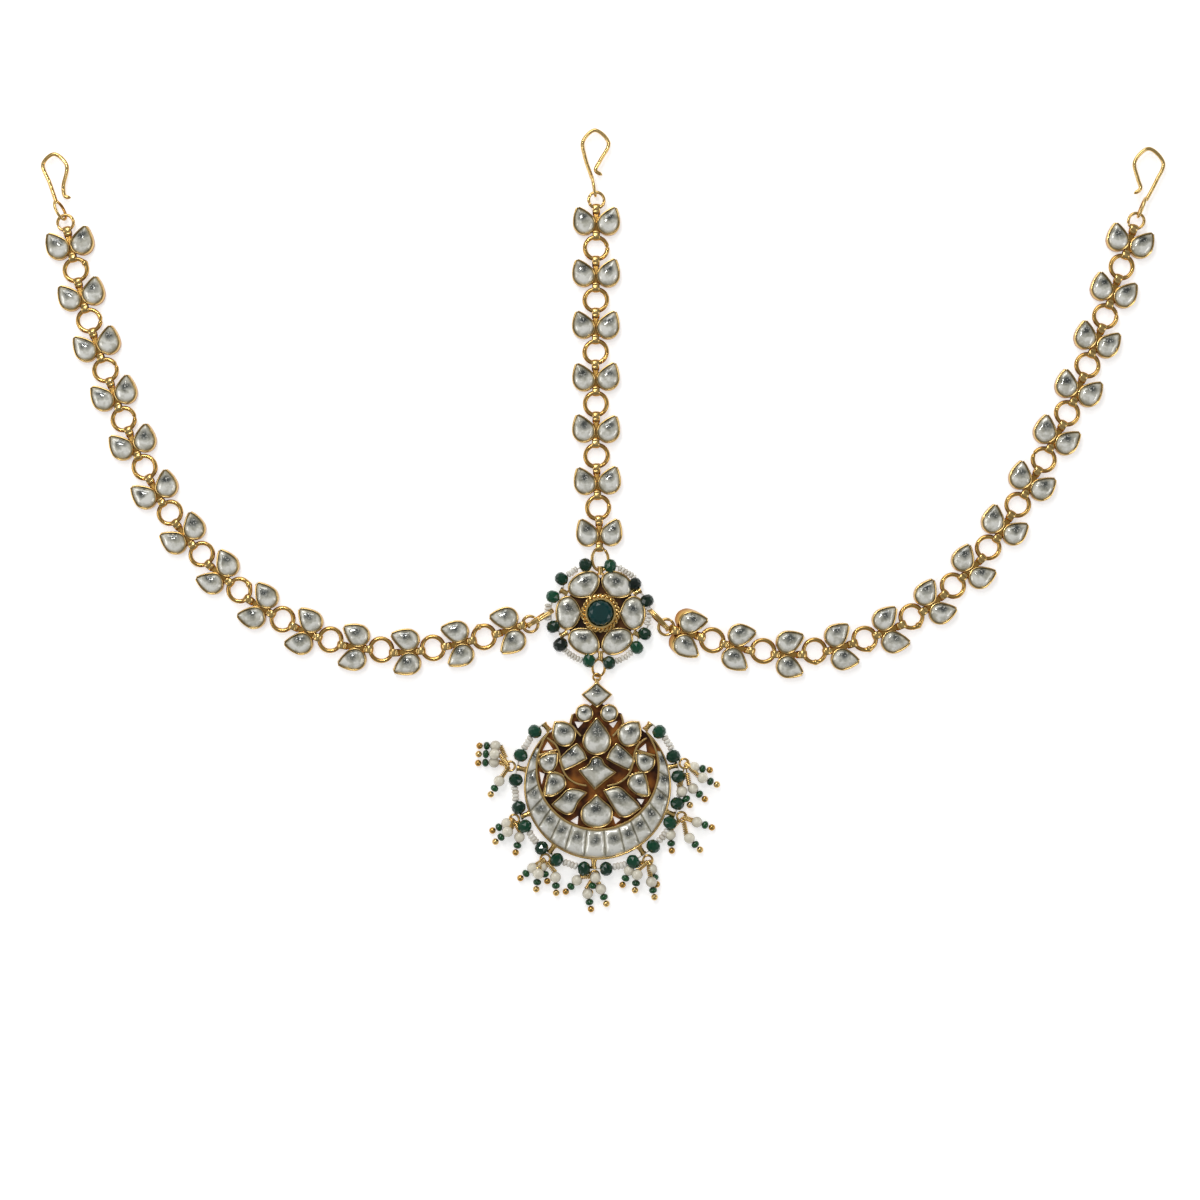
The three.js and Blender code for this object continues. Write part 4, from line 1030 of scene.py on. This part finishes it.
# %% Fringe drops
FRINGE = [  # lug angle, then bearing and length to each ball, and the drop's own bearing
    (167.2, [(151, 12.4, 180), (161, 11.7, 181), (173, 11.3, 183), (222, 10.5, 238)]),
    (201.8, [(206, 9.3, 207), (223, 10.3, 220), (258, 10.2, 256)]),
    (234.3, [(222, 11.1, 220), (249, 11.1, 262), (263, 8.3, 288), (277, 11.4, 272)]),
    (268.0, [(222, 10.5, 226), (260, 7.3, 250), (265, 11.8, 282), (287, 10.7, 290)]),
    (304.2, [(239, 10.4, 246), (259, 10.5, 262), (294, 9.6, 288), (285, 12.6, 282)]),
    (340.0, [(269, 10.1, 275), (307, 12.3, 312), (340, 11.3, 340)]),
    (374.6, [(353, 9.5, 350), (336, 12.4, 334), (312, 12.1, 318), (291, 11.3, 300)]),
]
pearls, small_greens, fringe_gold = Gather(), Gather(), Gather()
FRINGE_LUG, FRINGE_HEAD = 21.5, 24.4
# painted shade: each pearl's rings darker low down and lighter on top
PEARL_PAINTED_SHADE = np.array([-1.0, -1.0, -1.0, -0.95, -0.85, -0.65, -0.42, -0.2, -0.05, 0.05, 0.1])
BALL, PEARL, PEARL_HEIGHT = 0.92, 1.52, 1.6
DROP_WIRE, COIL_TURNS, COIL_RADIUS, COIL_LONG = 0.2, 7, 0.55, 3.4


def drop(head, ball, bearing, lift):
    """Ball, seed and pearl in line along the bearing, then a straight wire to the head with a
    coil on it: end - axis x reach (1 - t) + radius (cos a side + sin a up), t being a's share."""
    along = polar(1.0, bearing)
    pearl_at, seed_at = ball - 4.3 * along, ball - 1.95 * along
    fringe_gold.add(lathe(ball_profile(BALL, BALL, 9), (*ball, 1.0 + 0.6 * lift), (*along, 0), 14))
    seed(small_greens, (*seed_at, 1.25 + 0.8 * lift), along, 1.15, 0.88, dice.uniform(0.3, 0.9))
    rings = lathe(ball_profile(PEARL, PEARL, 11), (*pearl_at, PEARL_HEIGHT + lift), (0, 0, 1), 20)
    pearls.add(rings, shade=dice.uniform(0.6, 0.95) + PEARL_PAINTED_SHADE)
    start = np.array([*head, 1.9])
    end = np.array([*(pearl_at - 1.3 * along), PEARL_HEIGHT + lift])
    fringe_gold.add(sweep(np.linspace(start, end, 8), DROP_WIRE, 6))
    axis = unit(end - start, 1e-9)
    side = unit(np.cross(axis, (0, 0, 1.0)))
    a = np.linspace(0, 2 * np.pi * COIL_TURNS, 14 * COIL_TURNS)
    reach = min(COIL_LONG, np.linalg.norm(end - start))
    path = end - axis * (reach * (1 - a / a[-1]))[:, None] + COIL_RADIUS * (
        np.cos(a)[:, None] * side + np.sin(a)[:, None] * np.cross(side, axis))
    fringe_gold.add(sweep(path, DROP_WIRE, 6, normal=axis))


for lug, drops in FRINGE:
    head = polar(FRINGE_HEAD, lug) + PENDANT
    origin = polar(FRINGE_LUG, lug) + PENDANT
    wire_ring(fringe_gold, head - polar(0.3, lug), 1.25, 0.33, 2.0, ("cut", lug))
    for k, (toward, length, bearing) in enumerate(drops):
        drop(head, origin + polar(length, toward), bearing, 1.1 * (k % 2))
pearls.piece("fringe_pearls", pearly, "pearl", *[f"fringe_{n}" for n in range(1, 8)])
small_greens.piece("fringe_green_seeds", bottle, "green_glass")
fringe_gold.piece("fringe_gold_wire", wire_gold, "gold")

# %% [markdown]
# ## Table and light
#
# A white table, which glows a little so that it stays white, three broad soft lights and a small
# one for highlights. The sky is brighter low down than overhead, so that flat metal and glass
# look darker than their rounded edges.

# %% Table
bpy.ops.mesh.primitive_plane_add(size=8, location=(0, 0, -0.0001))
table = bpy.context.object
table.name = "table"
white, _, _ = new_material("table white", Base_Color=(0.9, 0.9, 0.9, 1), Roughness=0.9,
                           Emission_Color=(1, 1, 1, 1), Emission_Strength=0.55)
table.data.materials.append(white)

# %% Square lights, facing the rosette
LIGHTS = [("light over the hooks", (-0.15, 0.6, 0.55), 0.4, 1.8),
          ("light from the left", (-0.7, -0.05, 0.5), 0.35, 0.85),
          ("light from the right", (0.7, -0.2, 0.55), 0.35, 0.85),
          ("small bright light", (-0.18, 0.3, 0.75), 0.07, 0.8)]
for name, place, size, watts in LIGHTS:
    data = bpy.data.lights.new(name, "AREA")
    data.size, data.energy = size, watts
    light = bpy.data.objects.new(name, data)
    light.location = place
    light.rotation_euler = (-Vector(place)).to_track_quat("-Z", "Y").to_euler()
    bpy.context.collection.objects.link(light)
    print(f"{name}: {size} m wide, {watts} W")

# %% Sky
SKY = [(0.0, 0.7), (0.3, 0.6), (0.62, 0.16), (0.85, 0.42), (1.0, 0.48)]  # height, and grey there
world = bpy.data.worlds.new("studio")
bpy.context.scene.world = world
world.use_nodes = True
sky = world.node_tree
direction = node(sky, "TexCoord").outputs["Generated"]
upward = node(sky, "SeparateXYZ", {"Vector": direction}).outputs["Z"]
tone = ramp(sky, upward, [(height, (grey,) * 3) for height, grey in SKY])
sky.links.new(tone, sky.nodes["Background"].inputs["Color"])
sky.nodes["Background"].inputs["Strength"].default_value = 0.7
bpy.context.scene.view_settings.view_transform = "Standard"
